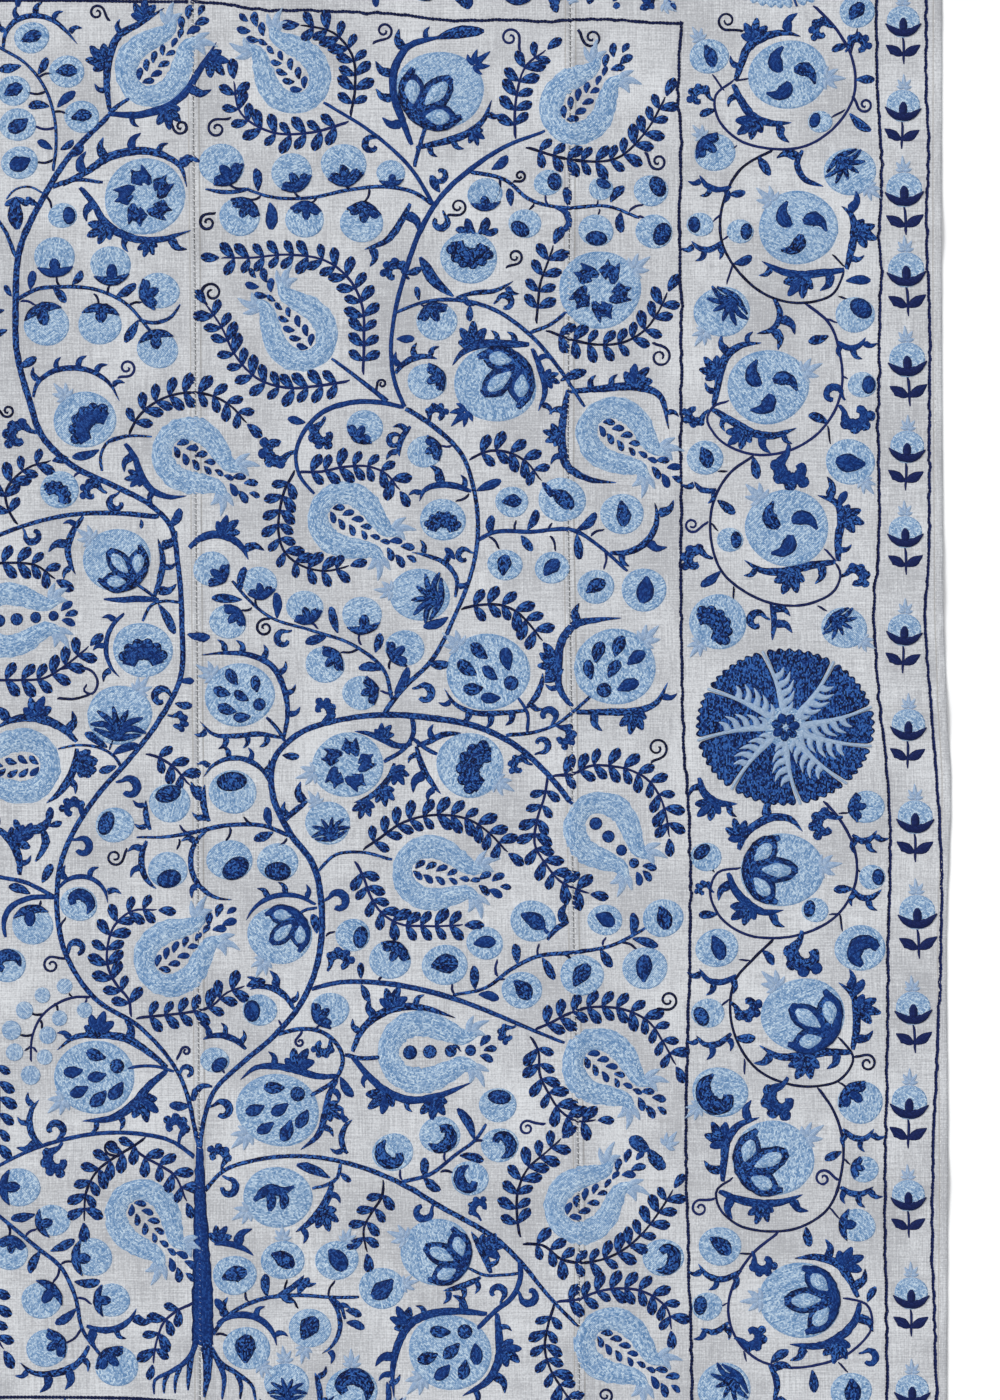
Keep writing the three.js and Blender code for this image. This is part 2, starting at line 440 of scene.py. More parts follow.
# Rows of a filling, outlined or plain: share of the way out, share of the rise, nearness to the edge
OUTLINED_ROWS = [(0.95, 0.78, 0.9), (0.89, 0.66, 0.3), (0.6, 0.92, 0.0), (0.28, 1.0, 0.0), (0.07, 1.0, 0.0)]
PLAIN_ROWS = [(0.8, 0.75, 0.75), (0.45, 1.0, 0.2), (0.12, 1.0, 0.0)]
rng = np.random.default_rng(12)


def spot(across, down):
    """A place of the photo in millimetres on the cloth."""
    return np.array([across - SEAM_PIXEL, MIDDLE_PIXEL - down], float)


def spots(points):
    return np.array([spot(*point) for point in points])


def ray(turn, length=1.0):
    """A step of a length in a direction, in degrees from the right, turning up."""
    return length * np.array([math.cos(math.radians(turn)), math.sin(math.radians(turn))])


def turned(points, turn, centre=(0, 0)):
    """Points turned about the origin and moved to a centre."""
    points = np.asarray(points, float)
    return points[:, :1] * ray(turn) + points[:, 1:] * ray(turn + 90) + np.asarray(centre)


def smooth(points, step):
    """A soft line through points: places about a step apart, and how far along each one is."""
    points = np.asarray(points, float)
    spans = np.linalg.norm(np.diff(points, axis=0), axis=1)[:, None]
    slopes = np.diff(points, axis=0) / spans
    inner = (slopes[:-1] * spans[1:] + slopes[1:] * spans[:-1]) / (spans[:-1] + spans[1:])
    slopes = np.vstack([slopes[:1], inner, slopes[-1:]])
    part = np.linspace(0, 1, 9)[:-1, None]
    bends = []
    for a, b, span, leave, arrive in zip(points, points[1:], spans, slopes, slopes[1:]):
        ease = part * part * (3 - 2 * part)
        swing = span * part * (1 - part) * (leave * (1 - part) - arrive * part)
        bends.append(a + (b - a) * ease + swing)
    line = np.vstack([*bends, points[-1:]])
    run = np.concatenate([[0], np.cumsum(np.linalg.norm(np.diff(line, axis=0), axis=1))])
    marks = np.linspace(0, run[-1], max(3, round(run[-1] / step) + 1))
    return np.stack([np.interp(marks, run, line[:, 0]), np.interp(marks, run, line[:, 1])], 1), marks


class Needlework:
    """Stitched patches in one thread: places, heights, thread runs, nearness to the outline, dye and faces.

    The last value of a patch is the number of the motif that it belongs to, or 0 if it stands alone.
    """
    motif = 0
    motif_count = 0

    def __init__(self):
        self.patches = []

    def ribbon(self, path, widths, dye=None, base=0.0, rise=0.9, step=4.0, columns=5):
        """Rows of stitches along a path, with widths spread evenly along it."""
        line, run = smooth(path, step)
        spread = THREAD_HALF if columns == 3 else ROWS_HALF
        half = np.interp(run / run[-1], np.linspace(0, 1, len(widths)), widths) * spread
        along = np.gradient(line, axis=0)
        along /= np.linalg.norm(along, axis=1)[:, None]
        side = np.stack([-along[:, 1], along[:, 0]], 1)
        across = np.linspace(-1, 1, columns)
        ragged = 1 + RAGGED * rng.standard_normal((len(run), columns)) * (np.abs(across) == 1)
        offset = half[:, None] * across * ragged
        place = line[:, None] + side[:, None] * offset[:, :, None]
        height = np.tile(base + SUNK + (rise - SUNK) * (1 - np.abs(across) ** 3), (len(run), 1))
        height[[0, -1]] = base + SUNK
        number = np.arange(height.size).reshape(height.shape)
        corners = [number[:-1, :-1], number[1:, :-1], number[1:, 1:], number[:-1, 1:]]
        faces = np.stack(corners, -1).reshape(-1, 4)
        thread = np.stack([offset, np.tile(run[:, None], columns) + THREAD_SHIFT * rng.random()], -1)
        edge = np.tile(np.abs(across), (len(run), 1))
        self.add(place, height, thread, edge, dye, faces.tolist())

    def line(self, path, widths, step, rise=THREAD_RISE, dye=None):
        """A single thread along a path."""
        self.ribbon(path, widths, dye, rise=rise, step=step, columns=3)

    def pad(self, outline, centre, dye=None, base=0.0, rise=0.9, rows_turn=None, outlined=True):
        """A filling of straight rows inside an outline, with a row of stitches round its edge."""
        rows = OUTLINED_ROWS if outlined else PLAIN_ROWS
        levels = [(1.0, SUNK, 1.0)] + [(share, part * rise, edge) for share, part, edge in rows]
        share, height, edge = np.transpose(levels)
        outline, centre = np.asarray(outline), np.asarray(centre)
        place = centre + share[:, None, None] * (outline - centre)
        count = len(outline)
        number = np.arange(len(levels) * count).reshape(len(levels), count)
        onward = np.roll(number, -1, axis=1)
        faces = np.stack([number[:-1], onward[:-1], onward[1:], number[1:]], -1).reshape(-1, 4).tolist()
        faces.append(number[-1].tolist())
        rows_turn = 180 * rng.random() if rows_turn is None else rows_turn
        thread = turned((place - centre).reshape(-1, 2), rows_turn).reshape(place.shape)
        thread = thread + THREAD_SHIFT * rng.random()
        height = np.tile(base + height[:, None], (1, count))
        self.add(place, height, thread, np.tile(edge[:, None], (1, count)), dye, faces)

    def disc(self, centre, radius, dye=None, base=0.0, rise=0.9, oval=1.0, turn=0.0, outlined=True):
        """A round filling, a little uneven as drawn by hand."""
        around = np.linspace(0, 2 * np.pi, max(12, round(radius * 1.1)), endpoint=False)
        uneven = 1 + TWO_LOBED * np.sin(2 * around + 6 * rng.random())
        uneven = uneven + THREE_LOBED * np.sin(3 * around + 6 * rng.random())
        round_line = np.stack([np.cos(around) * radius * uneven, np.sin(around) * radius * oval * uneven], 1)
        self.pad(turned(round_line, turn, centre), centre, dye, base, rise, None, outlined)

    def add(self, place, height, thread, edge, dye, faces):
        dye = rng.random() if dye is None else dye
        shades = np.full(height.size, dye)
        values = (height.ravel(), thread.reshape(-1, 2), edge.ravel(), shades)
        self.patches.append((place.reshape(-1, 2), *values, faces, Needlework.motif))

    @classmethod
    def begin(cls):
        """What is drawn from here on belongs to one motif."""
        cls.motif_count += 1
        cls.motif = cls.motif_count

    @classmethod
    def end(cls):
        cls.motif = 0

    def copied(self, reflect, keep=None):
        """Mirror copies of the patches that keep allows."""
        copy = Needlework()
        for place, height, thread, edge, shades, faces, motif in self.patches:
            if keep is None or keep(place):
                back = [face[::-1] for face in faces]
                copy.patches.append((reflect(place), height, thread, edge, shades, back, motif))
        return copy

    def mesh(self, name, laid=True):
        """All patches as one mesh in metres, laid on the cloth or left flat."""
        place, height, thread, edge, shades = (np.concatenate(part) for part in list(zip(*self.patches))[:5])
        faces, first = [], 0
        for patch in self.patches:
            faces += [[first + corner for corner in face] for face in patch[5]]
            first += len(patch[0])
        ground_height = cloth_top(place[:, 0], place[:, 1]) if laid else 0.0
        points = np.column_stack([place, height + ground_height]) * MM
        mesh = bpy.data.meshes.new(name)
        mesh.from_pydata(points.tolist(), [], faces)
        corners = np.empty(len(mesh.loops), int)
        mesh.loops.foreach_get("vertex_index", corners)
        mesh.uv_layers.new(name="thread").uv.foreach_set("vector", (thread[corners] * MM).ravel())
        for label, values in (("edge", edge), ("dye", shades)):
            mesh.attributes.new(label, "FLOAT", "POINT").data.foreach_set("value", values)
        mesh.shade_smooth()
        return mesh


# Slope of a stitch, how far its dye shifts its shade, and the fineness of the silk's patches and fibres
SLOPE, DYE_SHIFT, PATCH_FINENESS, FIBRE_FINENESS = 0.8, 91, 45.0, 1000.0
# A stitch's hump: its least height, and how much higher its middle is
HUMP_LEAST, HUMP_MORE = 0.45, 0.55
# Shares in the tone of a stitch; the hump's share is painted highlight on crests and painted shade in grooves
ROW_TONE, PATCH_TONE, HUMP_HIGHLIGHT_AND_SHADE, FIBRE_TONE = 0.3, 0.35, 0.4, 1.2
# Tones from deep to middle and middle to pale, dyes that fade and that bleach, and the edge's darker rows:
# outline and painted shade
DEEP_TO_MIDDLE, MIDDLE_TO_PALE = (0.0, 0.55), (0.5, 1.15)
FADES, FADED_SHARE, BLEACHES, BLEACHED_SHARE = (0.35, 1.0), 0.65, (1.2, 2.0), 0.75
EDGE_ROWS = (0.55, 1.0)
# Shares in the height of a stitch
CHANCE_HEIGHT, LOOSE_HEIGHT = 0.25, 0.3
SILK_BUMP, SILK_RELIEF = 0.7, 0.5
SILK_ROUGHNESS, FIBRE_ROUGHNESS, SILK_GLOSS = 0.5, 0.2, 0.12


def silk(name, deep, middle, pale, faded, speckle, outline_and_edge_shade):
    """Chain-stitched silk: each stitch a little lighter or darker, and the rows parted by fine grooves, with
    painted highlight on the crests and painted shade in the grooves and at the edges.
    """
    material, shader, add = new_material(name)
    across, along = add.node("ShaderNodeUVMap", {"uv_map": "thread"}).parts()
    across, along = across * (METRE / ROW_WIDTH), along * (METRE / STITCH_LENGTH)
    row = (across + 0.5).floor()
    from_row = (across + 0.5).fraction() - 0.5
    start = add.node("ShaderNodeTexWhiteNoise", {"noise_dimensions": "1D"}, {"W": row})
    chain = along + start + from_row.size() * SLOPE
    dye = add.attribute("dye")
    stitch = add.vector(row, chain.floor(), dye * DYE_SHIFT)
    chance = add.node("ShaderNodeTexWhiteNoise", {"noise_dimensions": "3D"}, {"Vector": stitch})
    hump = (1 - (from_row * 2) ** 2) * (HUMP_LEAST + HUMP_MORE * (chain.fraction() * 0.5).wave())
    place = add.node("ShaderNodeTexCoord", None, None, "Object")
    patches = add.noise(place, PATCH_FINENESS, 3.0)
    fibre = add.noise(place, FIBRE_FINENESS)
    streaks = (start - 0.5) * ROW_TONE + (patches - 0.5) * PATCH_TONE
    # Painted light: each stitch is lighter on its crest and darker in the grooves between rows and stitches
    tone = 0.5 + (chance - 0.5) * speckle + (hump - HUMP_LEAST) * HUMP_HIGHLIGHT_AND_SHADE + streaks
    tone = tone + (fibre - 0.5) * FIBRE_TONE
    tint = add.blend(tone.between(*DEEP_TO_MIDDLE), deep, middle)
    tint = add.blend(tone.between(*MIDDLE_TO_PALE), tint, pale)
    tint = add.blend(dye.between(*FADES) * FADED_SHARE, tint, faded)
    tint = add.blend(dye.between(*BLEACHES) * BLEACHED_SHARE, tint, pale)
    # The rows round a patch's edge darken: partly a darker outline thread, partly painted shade where the
    # stitching falls away
    tint = add.blend(add.attribute("edge").between(*EDGE_ROWS) * outline_and_edge_shade, tint, deep)
    tint.feed(shader, "Base Color")
    lumps = hump + chance * CHANCE_HEIGHT + fibre * LOOSE_HEIGHT
    lumps.bump(SILK_BUMP, SILK_RELIEF).feed(shader, "Normal")
    (SILK_ROUGHNESS + FIBRE_ROUGHNESS * fibre).feed(shader, "Roughness")
    shader.inputs["Specular IOR Level"].default_value = SILK_GLOSS
    return material


# Each silk: deep, middle, pale and faded colours, how much stitches differ, how dark the edge is by darker
# outline and painted shade
LIGHT_SILK = silk("light_blue_silk", colour(90, 128, 172), colour(141, 168, 199), colour(198, 216, 230),
                  colour(146, 165, 192), 1.05, 0.4)
DARK_SILK = silk("dark_blue_silk", colour(2, 8, 38), colour(15, 44, 106), colour(58, 104, 176),
                 colour(18, 52, 116), 1.6, 0.75)
NAVY_SILK = silk("navy_silk", colour(4, 6, 22), colour(12, 18, 50), colour(36, 50, 98),
                 colour(32, 46, 104), 0.9, 0.4)
THREADS = {"light": (LIGHT_SILK, "light_blue_thread"), "dark": (DARK_SILK, "dark_blue_thread"),
           "navy": (NAVY_SILK, "outline_thread")}


def sew(name, thread, mesh):
    """Shows a stitched mesh on the cloth, in one of the threads."""
    material, slot = THREADS[thread]
    mesh.materials.clear()
    mesh.materials.append(material)
    piece = show(name, mesh)
    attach(piece, "root")


def mirrored(place):
    """The other side of the centre seam."""
    return place * (-1, 1)


# The tree: a trunk on the centre seam that stands on its roots and parts into two winding vines.
# Twigs leave the vines for every fruit. Vines are rows of dark blue chain stitch, twigs near-black threads.
STEM_FULLNESS = 1.12
TWIG_WIDTHS, TWIG_BEND = [3.0, 2.4], 0.12
LOOSE_WIDTHS = [3.0, 2.6]
# Each row: widths along the stem, then the places that it passes
STEMS = [
    ([19,18,14,10,7], [(203,1345), (203,1290), (201,1230), (200,1180), (200,1145)]),
    ([9,10,7,2], [(206,1335), (208,1360), (207,1380), (204,1398)]),
    ([6,5,4,2], [(198,1335), (190,1357), (170,1372), (155,1380), (154,1395)]),
    ([5,4,2], [(170,1371), (165,1380), (164,1394)]), ([5,4,2], [(182,1364), (176,1378), (175,1394)]),
    ([6,5,2], [(191,1355), (189,1375), (188,1391)]),
    ([6,5,4,2], [(209,1345), (220,1362), (240,1375), (252,1385), (256,1402)]),
    ([6,5,2], [(217,1358), (224,1376), (222,1400)]), ([5,4,2], [(236,1372), (241,1384), (240,1400)]),
    ([4,4,5,5,5,5,5,6,6,6,5], [(200,1150), (178,1072), (140,1027), (96,999), (64,948), (57,905), (60,868),
        (96,797), (127,762), (159,721), (180,680), (182,622), (178,565), (169,523), (153,507), (112,485),
        (73,466), (41,434), (30,402), (17,351), (16,303), (19,255), (45,195), (70,156), (110,115)]),
    ([4,3], [(16,258), (6,232), (-14,205)]), ([5,4,3], [(108,115), (118,106), (131,98)]),
    ([5,4,3], [(52,187), (75,180), (104,183)]), ([4,4], [(414,168), (420,145), (428,120)]),
    ([5,4,4], [(160,517), (110,513), (70,515), (30,524), (0,535), (-40,556)]),
    ([4,5,6,6,5,6,5], [(200,1150), (205,1115), (215,1090), (240,1065), (275,1035), (300,1005), (317,965),
        (322,912), (312,862), (290,833), (272,790), (274,760), (300,733), (335,721), (383,715), (430,718),
        (478,727), (515,745), (551,778), (572,804)]),
    ([5,4,4,5], [(383,715), (400,692), (432,660), (456,613), (472,571), (478,530), (474,490), (462,455),
        (430,424), (405,408)]),
    ([4,4,5,5,3], [(405,408), (395,383), (391,351), (395,313), (405,274), (420,232), (440,198), (470,170),
        (505,147), (546,131)]),
    ([4,3], [(434,206), (412,170), (375,135), (323,102)]),
    ([4,5,4,3], [(405,408), (383,403), (350,403), (322,413), (304,432), (296,455), (299,474), (315,495)]),
    ([5,3], [(388,402), (360,380), (331,358)]),
    ([3,4,4,3], [(395,313), (425,302), (455,300), (490,308), (530,335), (560,370), (585,408)]),
    ([4,3], [(529,333), (550,325), (567,312)]),
    ([4,4,5,5,3], [(205,1190), (223,1171), (255,1160), (303,1156), (348,1163), (399,1182), (440,1206),
        (500,1242), (519,1260), (548,1295), (578,1326)]),
    ([4,5,5,4,3], [(311,989), (335,983), (383,983), (446,996), (500,1016), (535,1031), (565,1043)]),
    ([4,4,3], [(195,1157), (172,1141), (143,1134), (102,1133), (54,1142), (0,1165), (-30,1185)]),
    ([3,4,4,3], [(-25,1195), (0,1216), (38,1248), (61,1267), (75,1295), (83,1330), (104,1359)]),
    ([3,3], [(-20,36), (0,48), (25,63), (45,88), (55,120), (56,150), (53,172)]),
    ([4,3], [(17,300), (35,290), (65,287), (97,290), (125,303), (152,333)]),
    ([3,4,2], [(138,320), (155,323), (170,318), (181,304)]),
    ([4,3], [(434,206), (415,193), (385,187), (350,190), (310,198), (270,197), (243,188)]),
    ([4,3], [(470,172), (505,180), (530,200), (560,208), (610,207), (640,219)]),
    ([3,6,6,3], [(553,206), (566,213), (568,227), (556,234)]),
    ([4,3,3], [(392,700), (385,672), (355,646), (310,630), (270,617), (245,596), (232,580)]),
    ([4,4,4,2], [(292,837), (265,826), (230,825), (190,833), (165,837), (136,837)]),
    ([4,4,3], [(478,540), (492,533), (530,532), (575,531), (600,547), (628,572)]),
    ([3,4,3], [(452,995), (485,988), (510,970), (535,957), (575,952), (610,946), (646,928)]),
    ([4,3], [(400,1182), (430,1174), (455,1155), (475,1140), (487,1123)]),
    ([4,4,3], [(212,1335), (225,1318), (245,1305), (270,1297), (300,1295), (330,1297), (360,1297)]),
    ([4,3,3], [(505,735), (530,733), (555,725), (575,710), (592,695)]),
    ([3,3], [(527,733), (528,715), (518,697)]), ([3,3], [(318,871), (335,855), (360,852), (393,860)]),
    ([5,5,4], [(520,1258), (520,1280), (512,1297), (495,1311), (475,1331)]),
    ([3,3], [(520,1273), (500,1275), (485,1275), (467,1267)]),
    ([4,4,4], [(278,1034), (300,1029), (320,1031), (337,1044), (343,1058), (337,1077), (308,1097)]),
    ([4,4], [(344,1054), (360,1058), (382,1057)]),
    ([4,3], [(341,1163), (337,1178), (325,1185), (311,1188)]),
    ([3,3], [(175,1072), (160,1067), (140,1066), (125,1069)]), ([3,3], [(318,908), (305,910), (295,918)]),
    ([4,3], [(285,742), (279,731), (266,716)]), ([5,4,4], [(413,718), (413,735), (405,748), (383,762)]),
    ([4,4], [(413,738), (425,748), (438,755)]), ([3,3], [(182,603), (165,601), (153,604), (142,622)]),
    ([3,3], [(158,600), (148,592), (135,583)]),
    ([3,3,2], [(123,770), (115,757), (103,749), (80,745), (57,749)]),
    ([2,2], [(109,751), (111,745), (115,737)]), ([4,4], [(-20,872), (0,877), (25,882), (55,897)]),
    ([4,5,6,3], [(58,897), (30,898), (10,908), (4,922), (6,938)]),
    ([2,3,3], [(128,435), (108,442), (101,455), (102,472)]), ([3,3,2], [(108,442), (130,436), (153,437)]),
    ([4,3], [(330,1297), (341,1306), (345,1320)]),
    ([3,6,6,5,2], [(160,600), (140,599), (120,600), (103,599)]),
    ([7,9,9,4], [(16,840), (28,831), (42,828), (52,815)]),
    ([5,8,6,2], [(42,828), (46,842), (42,852), (35,862)]),
    ([5,6,5,2], [(193,1101), (196,1091), (204,1085), (213,1087)]),
    ([2,4,4,3], [(205,189), (220,192), (235,192), (250,189)]),
    ([2,2], [(44,194), (30,187), (15,190), (6,200)]),
]
# Short twigs to the fruits: from across, down, to across, down
TWIGS = [
    (20,301,36,306), (94,293,99,306), (128,306,143,303), (73,477,85,472), (253,608,240,610),
    (257,607,256,597), (310,622,318,630), (361,646,360,632), (360,648,340,652), (389,670,393,657),
    (394,693,380,690), (470,494,455,501), (453,446,440,445), (515,532,517,520), (548,531,553,523),
    (489,536,499,550), (550,535,555,552), (590,536,605,530), (605,550,603,570), (252,824,244,816),
    (231,827,225,842), (180,838,176,850), (187,833,180,824), (288,838,277,846), (60,933,67,917),
    (42,900,33,912), (325,936,336,932), (378,982,384,975), (454,995,453,982), (497,977,498,959),
    (496,980,506,980), (538,957,540,943), (565,954,572,961), (602,946,607,937), (622,942,637,950),
    (283,1026,279,1019), (315,1031,322,1024), (224,1074,225,1060), (402,1181,401,1168), (445,1162,446,1150),
    (440,1171,454,1173), (470,1143,486,1141), (630,1247,643,1249), (248,1302,246,1290), (286,1295,288,1279),
    (288,1296,298,1309), (328,1297,336,1280), (215,1334,228,1336), (8,1223,9,1238), (25,1236,38,1229),
    (60,1264,75,1262), (60,1266,52,1283), (77,1297,92,1305), (82,1328,63,1344), (421,304,427,312),
    (55,1002,58,1012), (43,1014,30,1012), (40,1018,42,1030), (34,1034,20,1034), (31,1046,24,1050),
    (32,1046,37,1053), (72,997,70,992), (88,997,84,1003), (350,190,346,184), (300,198,294,190),
    (245,189,228,184), (385,187,389,184), (262,196,248,200), (318,197,308,204), (370,188,363,204),
    (500,178,492,206), (535,203,528,210), (548,206,546,194), (598,208,599,199), (628,212,645,205),
    (600,208,597,216), (637,216,645,220), (38,1285,40,1284), (38,78,54,74), (47,92,26,92), (53,112,70,116),
    (56,128,34,126), (54,160,36,162), (45,195,52,210), (60,287,57,276), (108,294,111,284),
]

# Longer thin lines: the places that they pass
THREAD_LINES = [
    [(92,997), (75,997), (58,1003), (42,1016), (33,1035), (31,1062)],
    [(60,669), (80,667), (94,673), (98,684), (92,694), (84,690), (88,684)], [(57,698), (74,699), (92,694)],
]

field = {thread: Needlework() for thread in THREADS}
for widths, points in STEMS:
    field["dark"].ribbon(spots(points), np.array(widths) * STEM_FULLNESS, step=5.0)
for from_across, from_down, to_across, to_down in TWIGS:
    start, stop = spot(from_across, from_down), spot(to_across, to_down)
    sideways = TWIG_BEND * np.array([start[1] - stop[1], stop[0] - start[0]])
    field["navy"].line([start, (start + stop) / 2 + sideways, stop], TWIG_WIDTHS, 3.0)
for points in THREAD_LINES:
    field["navy"].line(spots(points), LOOSE_WIDTHS, 3.0)

# Single leaves on the stems and toothed fronds that wrap the fruits, solid in dark blue.
# A frond is a spine bent round its fruit, with thorns and fans of pointed lobes on its outer side.
LEAF_SHAPE = np.array([0.16, 0.5, 0.82, 1.0, 1.0, 0.8, 0.3])
BLADE_SHAPE = np.array([0.95, 1.0, 0.88, 0.66, 0.4, 0.1])
LOBE_SHAPE = np.array([0.72, 0.84, 1.0, 1.0, 0.84, 0.35])
FAN_SHAPE = np.array([0.75, 0.95, 1.0, 0.96, 0.74, 0.26])
FROND_SHAPE = np.array([0.55, 0.8, 1.0, 1.0, 0.9, 0.65, 0.1])
# Length of a frond's lobes: small and large thorns, small and large fans
LOBE_LENGTH = {"t": 14.0, "T": 20.5, "f": 16.0, "F": 21.5}
LOBE_CHANGE = (0.9, 1.08)
# Where the first and the last lobe stand on the spine, and how deep their roots are set off it
FIRST_LOBE, LAST_LOBE, LOBE_ROOT = 0.16, 0.85, 1.5
# The lobes of a fan: direction, share of the length; then the fan's lean and the width of its lobes
FAN_LOBES = ((-60, 0.82), (-21, 1.04), (17, 1.0), (54, 0.8))
FAN_LEAN, FAN_WIDTH = 80, 0.46
# A thorn: the range of its lean, its width, its bend
THORN_LEAN, THORN_WIDTH, THORN_BEND = (48, 66), 0.48, 0.2
# A long frond with none but small thorns is slender
SLENDER_FROM, SLENDER = 60.0, 0.74
# A short frond with a large fan is broad. Every frond is broader the longer it is.
BROAD_BELOW, BROAD, PLAIN, BROADENING = 105.0, 7.2, 5.8, 0.02
LEAF_BREADTH, WIDEST_LEAF = 0.46, 10.0
LEAF_BENDS = (-0.1, 0.1)


def leaf(work, base, turn, length, width=None, shape=LEAF_SHAPE, bend=0.08, height=0.0, dye=None):
    """A leaf from its base outwards, bent a little to the left."""
    width = min(LEAF_BREADTH * length, WIDEST_LEAF) if width is None else width
    path = turned([(0, 0), (0.5 * length, bend * length), (length, 0)], turn, base)
    work.ribbon(path, width * shape, dye, base=height, step=max(2.0, length / 7))


def bow(centre, radii, start, stop):
    """A spine round a centre from one direction to another, which closes in fast and then hugs the fruit."""
    shares = np.linspace(0, 1, 7)
    reach = radii[1] + (radii[0] - radii[1]) * (1 - shares) ** 2.2
    return [centre + ray(start + (stop - start) * share, away) for share, away in zip(shares, reach)]


def frond(work, spine, side, lobes):
    """A frond along a spine, lobed on its left, 1, or its right, -1. A dash is a bare place."""
    line, run = smooth(spine, 3.0)
    way = np.gradient(line, axis=0)
    slender = run[-1] > SLENDER_FROM and set(lobes) <= set("t-")
    body = BROADENING * run[-1] + (BROAD if "F" in lobes and run[-1] < BROAD_BELOW else PLAIN)
    work.ribbon(spine, body * FROND_SHAPE * (SLENDER if slender else 1.0), step=4.0)
    for lobe, share in zip(lobes, np.linspace(FIRST_LOBE, LAST_LOBE, len(lobes))):
        if lobe == "-":
            continue
        at = round(share * (len(line) - 1))
        along = math.degrees(math.atan2(way[at, 1], way[at, 0]))
        root = line[at] + ray(along + 90 * side, LOBE_ROOT)
        length = LOBE_LENGTH[lobe] * rng.uniform(*LOBE_CHANGE)
        if lobe in "fF":
            for spread, reach in FAN_LOBES:
                facing = along + side * FAN_LEAN + spread
                leaf(work, root, facing, reach * length, FAN_WIDTH * length, FAN_SHAPE)
        else:
            facing = along + side * rng.uniform(*THORN_LEAN)
            leaf(work, root, facing, length, THORN_WIDTH * length, BLADE_SHAPE, side * THORN_BEND)


def wrap(work, across, down, first, last, start, stop, lobes):
    """A frond bent round a fruit, with its lobes turned outwards."""
    spine = bow(spot(across, down), (first, last), start, stop)
    frond(work, spine, np.sign(start - stop), lobes)


# Fronds: across, down, radius at the start, at the end, from direction, to direction, lobes
FRONDS = [
    (143,650,41,36,116,231,"ttt"), (348,765,47,38,3,-82,"fff"), (470,765,57,41,160,226,"tTt"),
    (427,382,33,25,166,64,"ttt"), (425,452,29,26,118,192,"tt"), (280,935,47,37,40,157,"ttt-"),
    (278,1197,57,39,16,-64,"tFt"), (437,1252,58,40,-22,32,"tF-"), (437,1252,51,39,-29,-82,"ttt"),
    (82,903,28,26,150,-2,"ttt"), (215,1060,33,24,18,122,"ttt"), (260,1010,34,23,0,118,"tTt"),
    (170,803,34,24,235,172,"tt"), (168,870,36,22,125,240,"tt-"), (233,792,38,29,232,165,"tt"),
    (233,792,39,33,10,153,"tttt"), (230,860,38,40,128,274,"t-t-"), (328,823,44,30,178,128,"tT"),
    (112,1300,36,26,224,343,"TtT"), (247,1348,39,30,142,4,"Ttt"), (310,1328,36,28,58,-66,"tt"),
    (235,1275,38,27,124,45,"fT-"), (623,515,40,34,250,382,"tTT"), (213,570,32,37,137,15,"-FT"),
    (25,767,58,48,25,128,"TFT"), (25,767,56,42,20,-60,"Ft-"), (-25,868,45,45,-10,75,"tFt"),
    (283,1260,36,26,-100,-34,"tt"), (287,1383,40,30,-35,22,"tt"), (352,1390,40,36,-25,15,"tt"),
    (57,1120,30,27,245,130,"Ttt"), (575,930,30,10,200,120,"tT"), (365,1140,22,24,220,120,"tt"),
]
